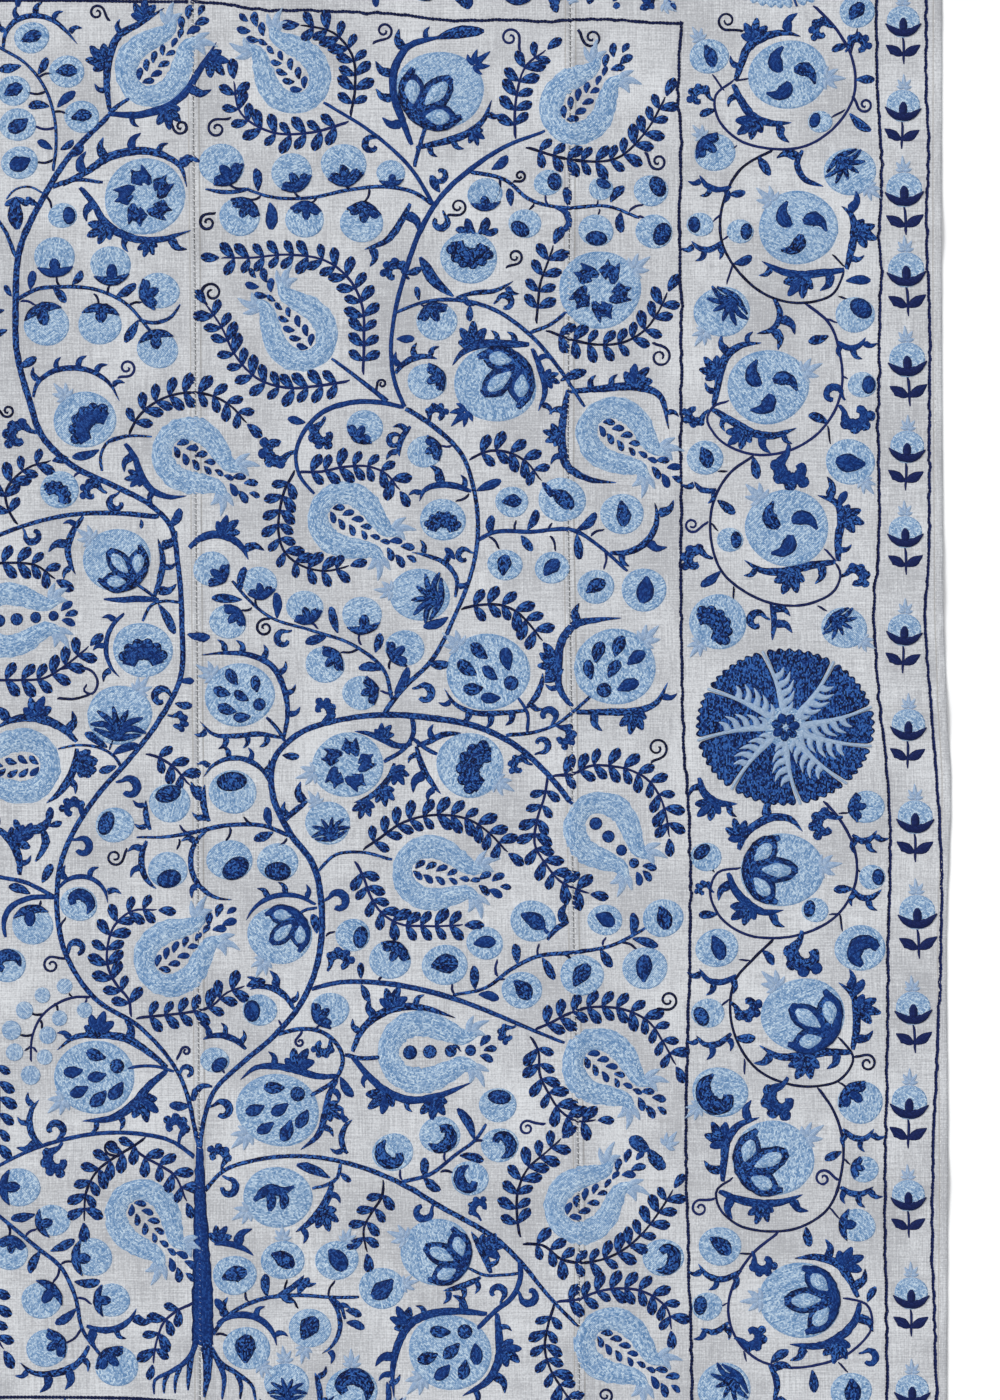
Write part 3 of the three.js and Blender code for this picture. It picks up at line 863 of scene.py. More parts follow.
# Fronds that take their own way: side, lobes, the places that they pass
FROND_LINES = [
    (1, "tFtF", [(110,112), (107,85), (110,55), (118,37), (138,25), (165,8)]),
    (-1, "tFTF", [(108,114), (140,115), (168,106), (186,92), (200,70), (217,42)]),
    (1, "TTTTt", [(412,146), (403,122), (394,95), (396,65), (408,47), (432,39), (450,36)]),
    (-1, "ttft", [(415,148), (440,143), (465,135), (482,122), (492,100)]),
    (-1, "tft--", [(568,390), (563,418), (562,446), (567,466), (588,479), (617,483)]),
    (1, "ttF-t", [(570,392), (600,389), (635,387), (658,394), (669,430)]),
    (-1, "tttttt", [(284,738), (288,712), (284,688), (272,666), (250,655), (225,653), (201,655)]),
    (1, "tttt", [(283,738), (260,734), (235,736), (213,734), (200,721)]),
    (1, "tTFt-", [(352,1052), (362,1030), (380,1014), (402,1007), (425,1008), (456,1018)]),
    (-1, "tFtF-", [(352,1056), (368,1075), (386,1091), (410,1100), (437,1096), (472,1082)]),
    (1, "tF-T-", [(572,707), (560,690), (558,665), (562,640), (575,625), (596,620), (622,618)]),
    (-1, "TFt", [(576,712), (605,712), (635,711), (655,704), (668,682)]),
    (1, "tttt", [(527,710), (500,713), (472,712), (455,704), (444,688)]),
    (-1, "tT", [(526,708), (535,698), (541,685), (543,672)]),
    (-1, "ttF-", [(530,345), (505,344), (480,345), (462,353), (452,366)]),
    (1, "tft", [(532,348), (540,368), (545,392), (538,412)]),
    (-1, "T-tF-Tt", [(488,1314), (460,1311), (435,1313), (412,1322), (399,1342), (393,1368), (394,1398)]),
    (1, "tFTt", [(497,1312), (499,1335), (499,1358), (490,1378), (462,1396)]),
    (-1, "-Ft-", [(340,1076), (318,1076), (300,1071), (275,1066), (255,1068), (240,1080)]),
    (1, "tft-", [(338,1078), (329,1095), (325,1115), (318,1135), (300,1150)]),
    (1, "TTTtT", [(62,185), (85,173), (110,157), (140,151), (165,156), (180,166), (187,187)]),
    (-1, "TFtfT", [(80,187), (93,203), (106,224), (130,238), (160,240), (191,231)]),
    (1, "ttttt", [(3,50), (6,33), (16,21), (33,16), (52,20), (66,31), (78,45)]),
    (1, "ttttt", [(33,398), (38,383), (50,373), (72,368), (95,373), (110,384), (120,402)]),
    (-1, "Tft-", [(125,443), (135,458), (141,475), (152,490), (168,497), (187,496)]),
    (-1, "tTt", [(84,516), (74,530), (68,548), (70,562), (76,575)]),
    (-1, "TtT", [(154,598), (160,580), (163,560), (158,538)]),
    (-1, "ttt", [(455,598), (457,580), (446,564), (428,556), (411,552)]),
    (-1, "tTt", [(472,492), (455,486), (438,485), (425,490), (419,502)]),
    (-1, "-TFt", [(168,1068), (150,1053), (125,1038), (100,1035), (75,1037), (57,1050)]),
    (1, "-Ftt", [(168,1070), (150,1085), (135,1103), (115,1117), (82,1121)]),
    (1, "tTTt", [(90,1345), (78,1363), (55,1373), (32,1372), (20,1362)]),
    (1, "TT", [(411,203), (401,222), (388,240), (364,250)]),
    (-1, "tt", [(455,298), (475,293), (495,291), (514,281)]),
    (1, "-t--", [(416,746), (428,742), (442,735), (462,733)]),
    (-1, "-f-", [(413,744), (400,746), (386,741), (370,734), (354,731)]),
]
# Single leaves: base across, down, direction, length, and the width of the broadest
LEAVES = [
    (53,288,-50,20), (115,298,33,26), (139,320,238,27), (19,368,30,21), (100,450,194,29), (141,519,-90,10),
    (169,528,60,23), (396,339,0,19), (419,301,100,15), (306,423,165,19), (470,305,-90,17), (560,381,20,29),
    (476,491,22,28), (491,536,86,21), (527,530,64,23), (576,531,42,28), (521,535,-55,20), (577,534,-84,26),
    (187,634,-8,24), (179,681,0,16), (175,703,-8,18), (117,766,196,19), (108,748,146,28), (112,755,20,29),
    (42,883,62,22), (31,894,160,24), (243,600,176,32), (240,592,78,26), (277,619,92,27), (338,634,104,29),
    (327,637,195,23), (375,653,74,21), (384,670,176,26), (394,694,62,31), (427,662,-5,23), (282,755,-5,18),
    (271,827,100,21), (274,832,200,22), (449,617,200,28), (191,1105,178,22), (317,934,102,21),
    (361,979,90,17), (361,984,-68,19), (340,1076,-58,25), (475,990,92,25), (478,994,-15,22),
    (517,964,96,21), (542,957,-62,26), (632,937,88,25), (632,938,-18,28), (600,949,-58,22),
    (36,1214,190,26), (50,1251,24,28), (41,1250,244,26), (74,1281,0,27), (77,1308,215,27),
    (227,1313,128,19), (298,1295,55,21), (425,1178,90,21), (423,1177,-38,22), (340,1172,-40,15),
    (331,1178,158,38), (475,1141,118,38), (459,1155,-14,26), (650,1151,145,25,15), (648,1148,-52,27,14),
    (158,603,-62,36), (46,824,75,18), (48,826,15,15), (20,834,110,16), (22,832,40,14), (8,330,210,16),
    (5,310,190,12), (345,1310,-20,18), (346,1322,-20,20), (267,1297,92,24), (12,297,120,14), (70,157,40,18),
    (40,205,150,16), (405,274,20,18), (455,560,130,16), (38,75,62,20), (50,107,180,22), (57,108,40,25),
    (53,150,150,18), (60,150,35,17), (22,66,190,24), (258,192,95,24), (270,202,-88,28,13),
    (17,196,-88,34,15), (17,197,215,15), (17,197,-35,15), (478,236,62,21,10), (476,236,118,20,9),
    (472,234,165,17,8), (482,234,15,17,8), (30,290,80,20), (72,285,55,18), (440,193,115,20),
    (491,170,40,22), (511,207,95,19), (568,207,95,20), (610,203,48,22), (621,212,-88,21), (434,39,8,52,13),
    (455,298,130,55,12),
]
for row in FRONDS:
    wrap(field["dark"], *row)
for side, lobes, points in FROND_LINES:
    frond(field["dark"], spots(points), side, lobes)
for across, down, turn, length, *width in LEAVES:
    leaf(field["dark"], spot(across, down), turn, length, *width, bend=rng.uniform(*LEAF_BENDS))

# Leaf sprays that arch round the almonds: a thin stem with paired leaves and one at its tip.
# Each leaf is a few rows of dark blue chain stitch, drawn in at its foot and round at its end.
LEAF_LENGTH, LEAF_WIDTH = 19.5, 10.2
LEAF_SPACING = 14.0
LEAF_TURN = 55.0
LEAF_SWAY, LEAF_SCALE = 0.16, (0.84, 1.14)
# How far along a stem the leaves of its left and right side start, and where the one at its tip stands
LEFT_FROM, RIGHT_FROM, TIP = 0.06, 0.02, 0.97
SPRAY_STEM_WIDTHS = [3.2, 2.8, 2.2]
SPRAYS = [
    [(350,118), (355,90), (352,55), (335,34), (300,25)],
    [(350,122), (310,133), (270,132), (240,112), (234,80)],
    [(363,376), (364,340), (362,305), (352,283), (330,263), (290,255), (250,258), (220,258)],
    [(351,381), (319,386), (287,388), (258,379), (235,355), (222,328), (206,304)],
    [(515,140), (516,100), (527,65), (547,50)], [(525,147), (577,161), (618,158), (645,133), (666,97)],
    [(128,436), (140,415), (160,400), (185,393), (215,397), (232,407), (247,424)],
    [(297,472), (320,472), (345,467), (370,467), (385,473), (400,491)],
    [(296,470), (285,490), (280,510), (279,535), (284,551), (300,565), (325,571), (350,566)],
    [(536,325), (538,305), (540,285), (548,262), (554,245)],
    [(545,330), (575,341), (600,345), (625,342), (645,330), (657,314), (668,292)],
    [(548,776), (544,798), (537,820), (535,845), (545,863), (560,881), (590,894)],
    [(550,776), (575,773), (590,766), (610,766), (630,770), (648,780), (660,797), (667,820), (669,838)],
    [(533,1030), (550,1023), (565,1015), (585,1008), (610,1007), (632,1012), (650,1023), (662,1040),
        (676,1066)],
    [(530,1035), (538,1050), (540,1075), (548,1092), (562,1112), (575,1120), (597,1120)],
    [(520,1238), (517,1215), (518,1190), (528,1168), (545,1153), (562,1138)],
    [(522,1243), (545,1246), (560,1258), (580,1262), (605,1258), (625,1248), (645,1230), (660,1210),
        (674,1188)],
    [(555,1301), (580,1298), (595,1292), (615,1288), (640,1290), (655,1297), (668,1310), (671,1330)],
    [(555,1302), (548,1325), (545,1350), (550,1368), (562,1388), (576,1408)],
    [(131,1018), (129,1000), (117,985), (108,966), (108,945), (115,925), (132,911), (158,910)],
    [(135,1018), (165,1015), (190,1012), (210,1007), (228,992), (246,986)],
    [(362,850), (380,838), (400,824), (420,817), (445,815), (470,820), (488,832), (508,853)],
    [(355,860), (364,878), (370,895), (380,911), (400,924), (425,926), (464,925)],
    [(145,753), (160,758), (175,768), (190,786)],
    [(384,1178), (382,1196), (372,1212), (364,1228), (367,1253)],
    [(194,1303), (178,1310), (164,1322), (157,1340), (153,1364)],
    [(460,609), (480,605), (500,605), (517,612), (530,625), (543,642)],
    [(468,460), (490,451), (510,453), (525,461), (542,482)],
    [(147,1137), (132,1147), (115,1157), (98,1170), (88,1187), (84,1222)],
    [(132,1147), (145,1157), (160,1165), (174,1174), (187,1202)], [(-12,564), (20,563), (35,565), (56,580)],
    [(18,526), (8,508), (6,492), (14,479), (30,467), (52,461)],
    [(-10,680), (20,680), (45,678), (62,668), (90,646)], [(-6,1050), (-1,1090), (-1,1120), (-6,1160)],
    [(-12,1275), (-6,1300), (-8,1325), (4,1350)],
]


def node_tree(name, inputs):
    """An empty Geometry Nodes tree with named inputs, the signals of those inputs, and what closes it."""
    inputs = {"Geometry": "Geometry", "Pattern": "Object", **inputs, "Seed": "Int", "Material": "Material"}
    tree = bpy.data.node_groups.new(name, "GeometryNodeTree")
    tree.interface.new_socket("Geometry", in_out="OUTPUT", socket_type="NodeSocketGeometry")
    for label, kind in inputs.items():
        tree.interface.new_socket(label, in_out="INPUT", socket_type="NodeSocket" + kind)
    entry = tree.nodes.new("NodeGroupInput")
    signals = {label: Signal(tree, entry.outputs[label]) for label in inputs}

    def close(instances):
        real = instances.node("GeometryNodeRealizeInstances", None, {"Geometry": instances})
        made = real.node("GeometryNodeSetMaterial", None, {"Geometry": real, "Material": signals["Material"]})
        tree.links.new(made.socket, tree.nodes.new("NodeGroupOutput").inputs["Geometry"])

    return tree, signals, close


def curve_of(lines):
    """A curve object, in metres, that runs along lines of millimetre points."""
    curve = bpy.data.curves.new("guide", "CURVE")
    curve.dimensions = "3D"
    for line in lines:
        spline = curve.splines.new("POLY")
        spline.points.add(len(line) - 1)
        level, weight = np.zeros(len(line)), np.ones(len(line))
        spline.points.foreach_set("co", np.column_stack([line * MM, level, weight]).ravel())
    return bpy.data.objects.new("guide", curve)


def grow(name, guide, tree, settings):
    """The plain mesh that a tree makes on a guide, laid on the cloth. The guide and the patterns go."""
    grower = guide.modifiers.new("grower", "NODES")
    grower.node_group = tree
    for item in tree.interface.items_tree:
        if item.in_out == "INPUT" and item.name in settings:
            grower[item.identifier] = settings[item.name]
    scene.collection.objects.link(guide)
    evaluated = bpy.context.evaluated_depsgraph_get()
    mesh = bpy.data.meshes.new_from_object(guide.evaluated_get(evaluated), preserve_all_data_layers=True,
                                           depsgraph=evaluated)
    guide.modifiers.remove(grower)
    for item in [guide] + [value for value in settings.values() if isinstance(value, bpy.types.Object)]:
        bpy.data.objects.remove(item)
    mesh.name = name
    points = np.empty(3 * len(mesh.vertices))
    mesh.vertices.foreach_get("co", points)
    points = points.reshape(-1, 3)
    points[:, 2] += cloth_top(points[:, 0] / MM, points[:, 1] / MM) * MM
    mesh.vertices.foreach_set("co", points.ravel())
    mesh.shade_smooth()
    return mesh


def heading(signal):
    """The direction of a guide at each of its points, in radians."""
    x, y = signal.node("GeometryNodeInputTangent").parts()
    return signal.maths("ARCTAN2", y, x)


def chance(signal, low, high, seed):
    """A different number between two for each point, always the same for a seed."""
    sockets = {2: low, 3: high, "Seed": seed}
    return signal.node("FunctionNodeRandomValue", {"data_type": "FLOAT"}, sockets, 1)


def spaced(inputs):
    """Points at even steps along the guide."""
    line = inputs["Geometry"]
    sockets = {"Curve": line, "Length": inputs["Spacing"]}
    return line.node("GeometryNodeResampleCurve", {"mode": "LENGTH"}, sockets)


def plant(points, inputs, turn, scale=None, dye=None, where=True):
    """A copy of the pattern at each point, turned and, where they are given, scaled and dyed."""
    shape = points.node("GeometryNodeObjectInfo", None, {"Object": inputs["Pattern"]}, "Geometry")
    facing = points.vector(0.0, 0.0, turn)
    sockets = {"Points": points, "Selection": where, "Instance": shape, "Rotation": facing}
    if scale is not None:
        sockets["Scale"] = points.vector(scale, scale, 1.0)
    copies = points.node("GeometryNodeInstanceOnPoints", None, sockets)
    if dye is None:
        return copies
    return copies.node("GeometryNodeStoreNamedAttribute", {"data_type": "FLOAT", "domain": "INSTANCE"}, {
        "Geometry": copies, "Name": "dye", "Value": dye})


spray_tree, spray, close_spray = node_tree("leaf_spray", {"Spacing": "Float", "Turn": "Float"})
stem = spaced(spray)
along_stem = stem.node("GeometryNodeSplineParameter", None, None, "Factor")
before_tip = stem.maths("LESS_THAN", along_stem, TIP)
sprouting = [stem.maths("GREATER_THAN", along_stem, share) for share in (LEFT_FROM, RIGHT_FROM, TIP)]
sprouting = [sprouting[0] * before_tip, sprouting[1] * before_tip, sprouting[2]]
bunch = stem.node("GeometryNodeJoinGeometry")
for side, (where, way) in enumerate(zip(sprouting, (1, -1, 0))):
    facing = heading(stem) + spray["Turn"] * way + chance(stem, -LEAF_SWAY, LEAF_SWAY, spray["Seed"] + side)
    scale = chance(stem, *LEAF_SCALE, spray["Seed"] + side + 3)
    leaves = plant(stem, spray, facing, scale, chance(stem, 0.0, 1.0, spray["Seed"] + side + 6), where)
    spray_tree.links.new(leaves.socket, bunch.socket.node.inputs["Geometry"])
close_spray(bunch)

# The field line on the left, how much copies are drawn in towards it, and their distance from the photo
FIELD_EDGE, LEFT_SHARE, APART = 484.0, 0.94, 3


def to_left(place):
    """The mirror image on the left, drawn in towards the field line so that more of it clears the photo."""
    return np.column_stack([(FIELD_EDGE - place[:, 0]) * LEFT_SHARE - FIELD_EDGE, place[:, 1]])


def unseen_left(place):
    """True for what lies so far right that its copy falls left of the photo."""
    return to_left(place)[:, 0].max() < -SEAM_PIXEL - APART


stems = [spots(points) for points in SPRAYS]
stems += [to_left(points) for points in stems if unseen_left(points)]
Needlework.begin()
for points in stems:
    field["navy"].line(points, SPRAY_STEM_WIDTHS, 5.0)
Needlework.end()
pattern = Needlework()
leaf(pattern, np.array([0.0, 0.0]), 0, LEAF_LENGTH, LEAF_WIDTH, bend=0.03)
spray_leaf = show("spray_leaf", pattern.mesh("spray_leaf", laid=False))
spray_guide = curve_of([smooth(points, 3.0)[0] for points in stems])
sew("spray_leaves", "dark", grow("spray_leaves", spray_guide, spray_tree, {
    "Pattern": spray_leaf, "Spacing": LEAF_SPACING * MM, "Turn": math.radians(LEAF_TURN), "Seed": 5,
    "Material": DARK_SILK}))

# Round fruits filled with sky blue, each with a dark calyx, seed or whorl laid over the filling.
# The large ones are pomegranates with a small pale crown opposite the stem.


def path_round(centre, radius, turn, places):
    """Places round a centre, each so many degrees off a direction and at a share of the radius."""
    return [centre + ray(turn + spread, radius * reach) for spread, reach in places]


def overlay(work, path, radius, shares, step=3.0):
    """Dark rows of stitches over a filling, their widths as shares of a radius."""
    work["dark"].ribbon(path, radius * np.array(shares), base=LAID_ON, step=step)


def blade(work, root, turn, length, width, shape=LEAF_SHAPE, bend=0.0):
    """A dark leaf over a filling."""
    leaf(work["dark"], root, turn, length, width, shape, bend, LAID_ON)


def cap(work, centre, radius, turn):
    """A calyx across the rim like a small boat, with a bud that points inwards."""
    lean = turn + rng.uniform(-9, 9)
    boat = ((-60, 1.03), (-30, 0.86), (0, 0.8), (30, 0.86), (60, 1.03))
    overlay(work, path_round(centre, radius, lean, boat), radius, (0.06, 0.28, 0.42, 0.46, 0.42, 0.28, 0.05))
    root = centre + ray(lean, 0.8 * radius)
    blade(work, root, turn + 180, rng.uniform(0.68, 0.86) * radius, 0.52 * radius, LOBE_SHAPE)


def sepals(work, centre, radius, turn):
    """A calyx with three round lobes that point inwards."""
    rim = path_round(centre, radius, turn, ((-58, 0.98), (0, 0.74), (58, 0.98)))
    overlay(work, rim, radius, (0.1, 0.42, 0.56, 0.42, 0.1))
    for spread, share in ((-52, 0.62), (-4, 0.78), (46, 0.6)):
        root = centre + ray(turn + 0.3 * spread, 0.76 * radius)
        blade(work, root, turn + 180 - spread, share * radius, 0.44 * radius, LOBE_SHAPE)


def seed(work, centre, radius, turn):
    """One large seed with its point turned outwards."""
    root = centre + ray(turn, 0.64 * radius)
    blade(work, root, turn + 180, 1.24 * radius, rng.uniform(0.66, 0.84) * radius, LEAF_SHAPE, 0.06)


def bite(work, centre, radius, turn):
    """A dark patch that lies along the rim."""
    work["dark"].disc(centre + ray(turn, 0.46 * radius), 0.66 * radius, base=LAID_ON,
                      oval=rng.uniform(0.62, 0.78), turn=turn + 90 + rng.uniform(-8, 8), outlined=False)


def hook(work, centre, radius, turn):
    """A thick crescent with one end curled in."""
    crescent = ((-95, 0.72), (-50, 0.66), (0, 0.58), (45, 0.55), (95, 0.5), (140, 0.3))
    overlay(work, path_round(centre, radius, turn, crescent), radius, (0.08, 0.46, 0.64, 0.64, 0.5, 0.34))


def arch(work, centre, radius, turn):
    """A smooth crescent round a hollow at the rim."""
    middle = centre + ray(turn, 0.36 * radius)
    crescent = [(spread, 0.5) for spread in (-110, -55, 0, 55, 110)]
    overlay(work, path_round(middle, radius, turn + 180, crescent), radius, (0.3, 0.52, 0.62, 0.56, 0.2))


def palm(work, centre, radius, turn):
    """Pointed blades that spread from the rim."""
    root = centre + ray(turn, 0.72 * radius)
    for spread, share in ((-74, 0.86), (-46, 0.94), (-16, 0.86), (14, 0.9), (44, 0.94), (72, 0.84)):
        length = 1.12 * share * radius
        blade(work, root, turn + 180 + spread, length, 0.2 * radius, LEAF_SHAPE, -spread / 330)
    rim = path_round(centre, radius, turn, ((-54, 0.94), (0, 0.72), (54, 0.94)))
    overlay(work, rim, radius, (0.08, 0.2, 0.26, 0.2, 0.08))


def carnation(work, centre, radius, turn):
    """A scalloped crescent round a hollow at the rim."""
    middle = centre + ray(turn, 0.5 * radius)
    crescent = [(spread, 0.5) for spread in (-92, -46, 0, 46, 92)]
    overlay(work, path_round(middle, radius, turn + 180, crescent), radius, (0.4, 0.6, 0.64, 0.6, 0.4), 3.5)
    for spread in (-66, -40, -14, 14, 40, 66):
        scallop = middle + ray(turn + 180 + spread, 0.74 * radius)
        work["dark"].disc(scallop, 0.18 * radius, 0.3, base=LAID_ON, outlined=False)


def seeds(work, centre, radius, turn):
    """A cluster of seeds with their points towards the stem, and a knob at its foot."""
    root = centre + ray(turn, 0.95 * radius)
    cluster = ((-0.5, 0.27), (0.16, 0.56), (0.06, 0.02), (-0.46, -0.25), (-0.02, -0.54), (0.46, -0.44))
    for along, aside in cluster:
        middle = turned([(along * radius, aside * radius)], turn, centre)[0]
        off = root - middle
        facing = math.degrees(math.atan2(off[1], off[0])) + rng.uniform(-12, 12)
        size = radius * rng.uniform(0.48, 0.58)
        blade(work, middle + ray(facing, 0.5 * size), facing + 180, size, 0.56 * size, LEAF_SHAPE, 0.05)
    knob = turned([(0.62 * radius, 0.16 * radius)], turn, centre)[0]
    work["dark"].disc(knob, 0.19 * radius, base=LAID_ON, outlined=False)


def petals(work, centre, radius, turn):
    """A dark bloom that opens from the stem, with three pale petals set into it."""
    root = centre + ray(turn, 0.9 * radius)
    rim = path_round(centre, radius, turn, [(spread, 0.82) for spread in (-84, -50, 0, 50, 84)])
    overlay(work, rim, radius, (0.12, 0.3, 0.36, 0.36, 0.36, 0.3, 0.12), 3.5)
    for spread, share in ((-47, 1.0), (47, 1.0), (0, 1.3)):
        facing = turn + 180 + spread
        blade(work, root, facing, share * radius, 0.62 * radius)
        pale_root = root + ray(facing, 0.3 * share * radius)
        leaf(work["light"], pale_root, facing, 0.56 * share * radius, 0.33 * radius, LEAF_SHAPE, 0.0,
             2.2 * LAID_ON, 0.3)


def whorl(work, centre, radius, turn):
    """Five toothed leaves that turn about the middle."""
    for fifth in range(5):
        start = turn + 72 * fifth
        arc = path_round(centre, radius, start, ((-26, 0.34), (-4, 0.48), (20, 0.55), (42, 0.46)))
        overlay(work, arc, radius, (0.1, 0.27, 0.31, 0.23, 0.08))
        for spread, lean, reach in ((-4, 16, 0.34), (18, 38, 0.3), (26, 226, 0.24)):
            root = centre + ray(start + spread, 0.5 * radius)
            blade(work, root, start + lean, reach * radius, 0.2 * radius, BLADE_SHAPE)


def drops(work, centre, radius, turn):
    """Three curved drops round the middle."""
    bent = radius * np.array([(-0.28, -0.11), (-0.07, 0.05), (0.13, 0.06), (0.39, -0.13)])
    for third in range(3):
        middle = centre + ray(turn + 60 + 120 * third, 0.45 * radius)
        drop = turned(bent, turn + 120 * third + 20, middle)
        overlay(work, drop, radius, (0.13, 0.32, 0.37, 0.27, 0.16, 0.06))


def branch(work, centre, radius, turn):
    """A bent twig with hanging pods."""
    bent = radius * np.array([(0.5, 0.34), (0.2, 0.2), (-0.3, 0.24), (-0.72, -0.1)])
    overlay(work, turned(bent, turn - 15, centre), radius, (0.08, 0.24, 0.34, 0.28, 0.1))
    for along, length in ((-0.3, 0.62), (0.1, 0.56)):
        root = turned([(along * radius, 0.2 * radius)], turn - 15, centre)[0]
        blade(work, root, turn - 100, length * radius, 0.28 * radius, LOBE_SHAPE, 0.14)


def crown(work, centre, radius, turn, dye=1.0):
    """A small pale crown of pointed lobes that stands on the rim."""
    root = centre + ray(turn, 0.95 * radius) + ray(turn, 3.0)
    size = 0.26 * radius + 7
    for spread, share in ((-88, 0.72), (-40, 0.88), (4, 1.15), (44, 0.88), (88, 0.72)):
        leaf(work, root, turn + spread, share * size, 0.46 * size, BLADE_SHAPE, spread / 500, dye=dye)


# How much a filling grows as it is sewn, the range of its dye, and the roundness and lean of its oval
FRUIT_FULLNESS, FRUIT_DYE, FRUIT_OVAL, FRUIT_LEAN = 1.05, 0.42, (0.87, 0.94), (-10, 10)


def fruit(work, across, down, radius, mark, turn, crowned=None, crown_thread="light"):
    """A fruit with its filling, its mark and, if it has one, its crown."""
    centre = spot(across, down)
    Needlework.begin()
    if crowned is not None:
        crown(work[crown_thread], centre, radius, crowned)
    work["light"].disc(centre, radius * FRUIT_FULLNESS, FRUIT_DYE * rng.random(), rise=FILLING_RISE,
                       oval=rng.uniform(*FRUIT_OVAL), turn=rng.uniform(*FRUIT_LEAN))
    mark(work, centre, radius, turn)
    Needlework.end()


# Fruits of the field: across, down, radius, mark, its direction, direction of the crown if any
FRUITS = [
    (145,197,39,whorl,20), (440,90,42,petals,225,36,"dark"), (469,258,28,carnation,82),
    (600,290,40,whorl,50,32), (85,420,30,carnation,-42,129), (495,385,40,petals,38,222,"dark"),
    (488,672,40,seeds,-40,138), (615,667,40,seeds,230,42), (95,1077,39,seeds,12,216),
    (280,935,31,petals,42,239), (278,1110,40,seeds,25,218), (278,1197,33,branch,15,205),
    (437,1252,35,petals,-25,156), (450,1352,40,seeds,40,223), (117,560,33,petals,-50,141),
    (143,650,29,carnation,-88), (120,715,31,palm,262,52), (240,695,34,seeds,-40,144),
    (420,595,29,palm,-15,172), (348,765,35,whorl,70,193), (470,765,33,carnation,-18,-32),
    (32,38,17,seed,200), (67,72,17,seed,180), (14,91,16,seed,205), (82,117,17,seed,190),
    (18,125,18,seed,30), (20,163,18,seed,20), (63,216,14,bite,0), (55,257,20,cap,-85), (111,265,20,cap,-90),
    (159,291,20,sepals,200), (47,325,22,cap,105), (100,325,21,cap,92), (158,350,20,cap,98),
    (60,490,19,carnation,235), (222,165,22,sepals,-55), (292,173,20,sepals,-65), (344,165,22,sepals,-80),
    (391,173,14,cap,-95), (240,217,20,sepals,60), (305,220,19,sepals,85), (362,223,21,sepals,80),
    (485,194,17,cap,-80), (525,224,16,bite,228), (548,183,14,bite,8), (601,189,12,bite,65),
    (651,191,17,bite,32), (596,231,17,bite,-88), (654,232,18,bite,-18), (437,322,20,sepals,115),
    (427,382,19,sepals,28), (365,427,18,sepals,235), (425,452,17,sepals,25), (443,520,22,carnation,-92),
    (212,569,18,sepals,-42), (260,583,17,sepals,-80), (305,607,18,sepals,-70), (362,615,19,cap,-90),
    (228,622,18,sepals,45), (325,665,19,sepals,40), (405,648,19,sepals,218), (361,693,18,sepals,15),
    (512,502,16,seed,180), (562,500,23,seed,140), (622,514,21,seed,95), (505,565,17,seed,-100),
    (552,568,17,seed,225), (596,587,18,seed,210), (644,590,22,seed,80), (170,803,20,bite,100),
    (115,825,19,bite,168), (233,792,23,bite,96), (168,870,19,bite,-82), (230,860,22,bite,-55),
    (278,862,20,bite,-90), (328,823,22,palm,-75,120), (79,904,18,hook,45), (33,925,20,cap,92),
    (353,935,17,bite,-15), (390,960,20,sepals,60), (445,965,22,seed,185), (485,943,18,seed,185),
    (533,921,22,seed,150), (605,920,17,seed,150), (663,918,20,seed,105), (582,975,21,seed,235),
    (645,968,22,seed,265), (522,990,20,seed,130), (260,1010,17,bite,185), (330,1010,19,sepals,215),
    (215,1060,14,bite,-45), (393,1152,20,hook,215), (440,1135,20,hook,-50), (498,1105,18,bite,80),
    (500,1145,18,hook,10), (470,1178,18,hook,190), (663,1257,20,hook,-25), (235,1275,21,seed,195),
    (283,1260,21,seed,150,90), (337,1260,21,seed,125,65), (382,1288,22,seed,40,10),
    (310,1328,21,seed,235,255), (247,1348,23,seed,265,-50), (287,1383,22,palm,-90,95),
    (352,1390,25,hook,60,90), (20,1187,20,cap,182), (53,1220,17,cap,195), (10,1253,18,sepals,80),
    (92,1257,20,cap,178), (42,1300,20,cap,55), (112,1300,18,cap,182), (47,1348,20,sepals,30),
    (117,1366,21,sepals,130), (8,965,18,hook,90),
]
for row in FRUITS:
    fruit(field, *row)
crown(field["light"], spot(650, 1165), 26, 50, 0.9)
# A bunch of small plain berries: across, down, radius
BERRIES = [
    (43,995,8), (65,986,8), (25,1010,9), (60,1018,8), (85,1010,8), (12,1030,10), (48,1035,9), (15,1052,9),
    (45,1057,8), (31,1075,10),
]
for across, down, radius in BERRIES:
    field["light"].disc(spot(across, down), radius, 0.6)

# Almonds: a broad sky-blue band bent into a loop, open at one end, with dark seeds in its hollow.
# A pale tuft stands on each lip and a fan of leaves comes out of the mouth.
ALMOND_LINE = [
    (55,17), (40,12.5), (26,18), (11,24.5), (-4,26), (-18,20.5), (-27.5,8), (-27.5,-8), (-18,-20.5),
    (-4,-26), (11,-24.5), (26,-18), (40,-12.5), (55,-18),
]
ALMOND_WIDTHS = [5, 14.5, 19.5, 22.5, 23.5, 22, 20, 20, 22, 23.5, 22.5, 19.5, 14.5, 5]
# Seeds and the leaves of the mouth: along, aside, direction, length
ALMOND_SEEDS = [
    (-12,6,38,13), (-13,-5,-42,13), (-1,6.5,36,13), (-2,-6.5,-38,13), (10,6,34,13), (10,-6,-36,13),
    (21,4,30,12), (23,-4,-28,11), (34,0,5,11),
]
ALMOND_FAN = [(45,1,12,11), (54,7,34,14), (55,-7,-34,15), (67,8,28,15), (67,-8,-30,16), (76,0,0,12)]
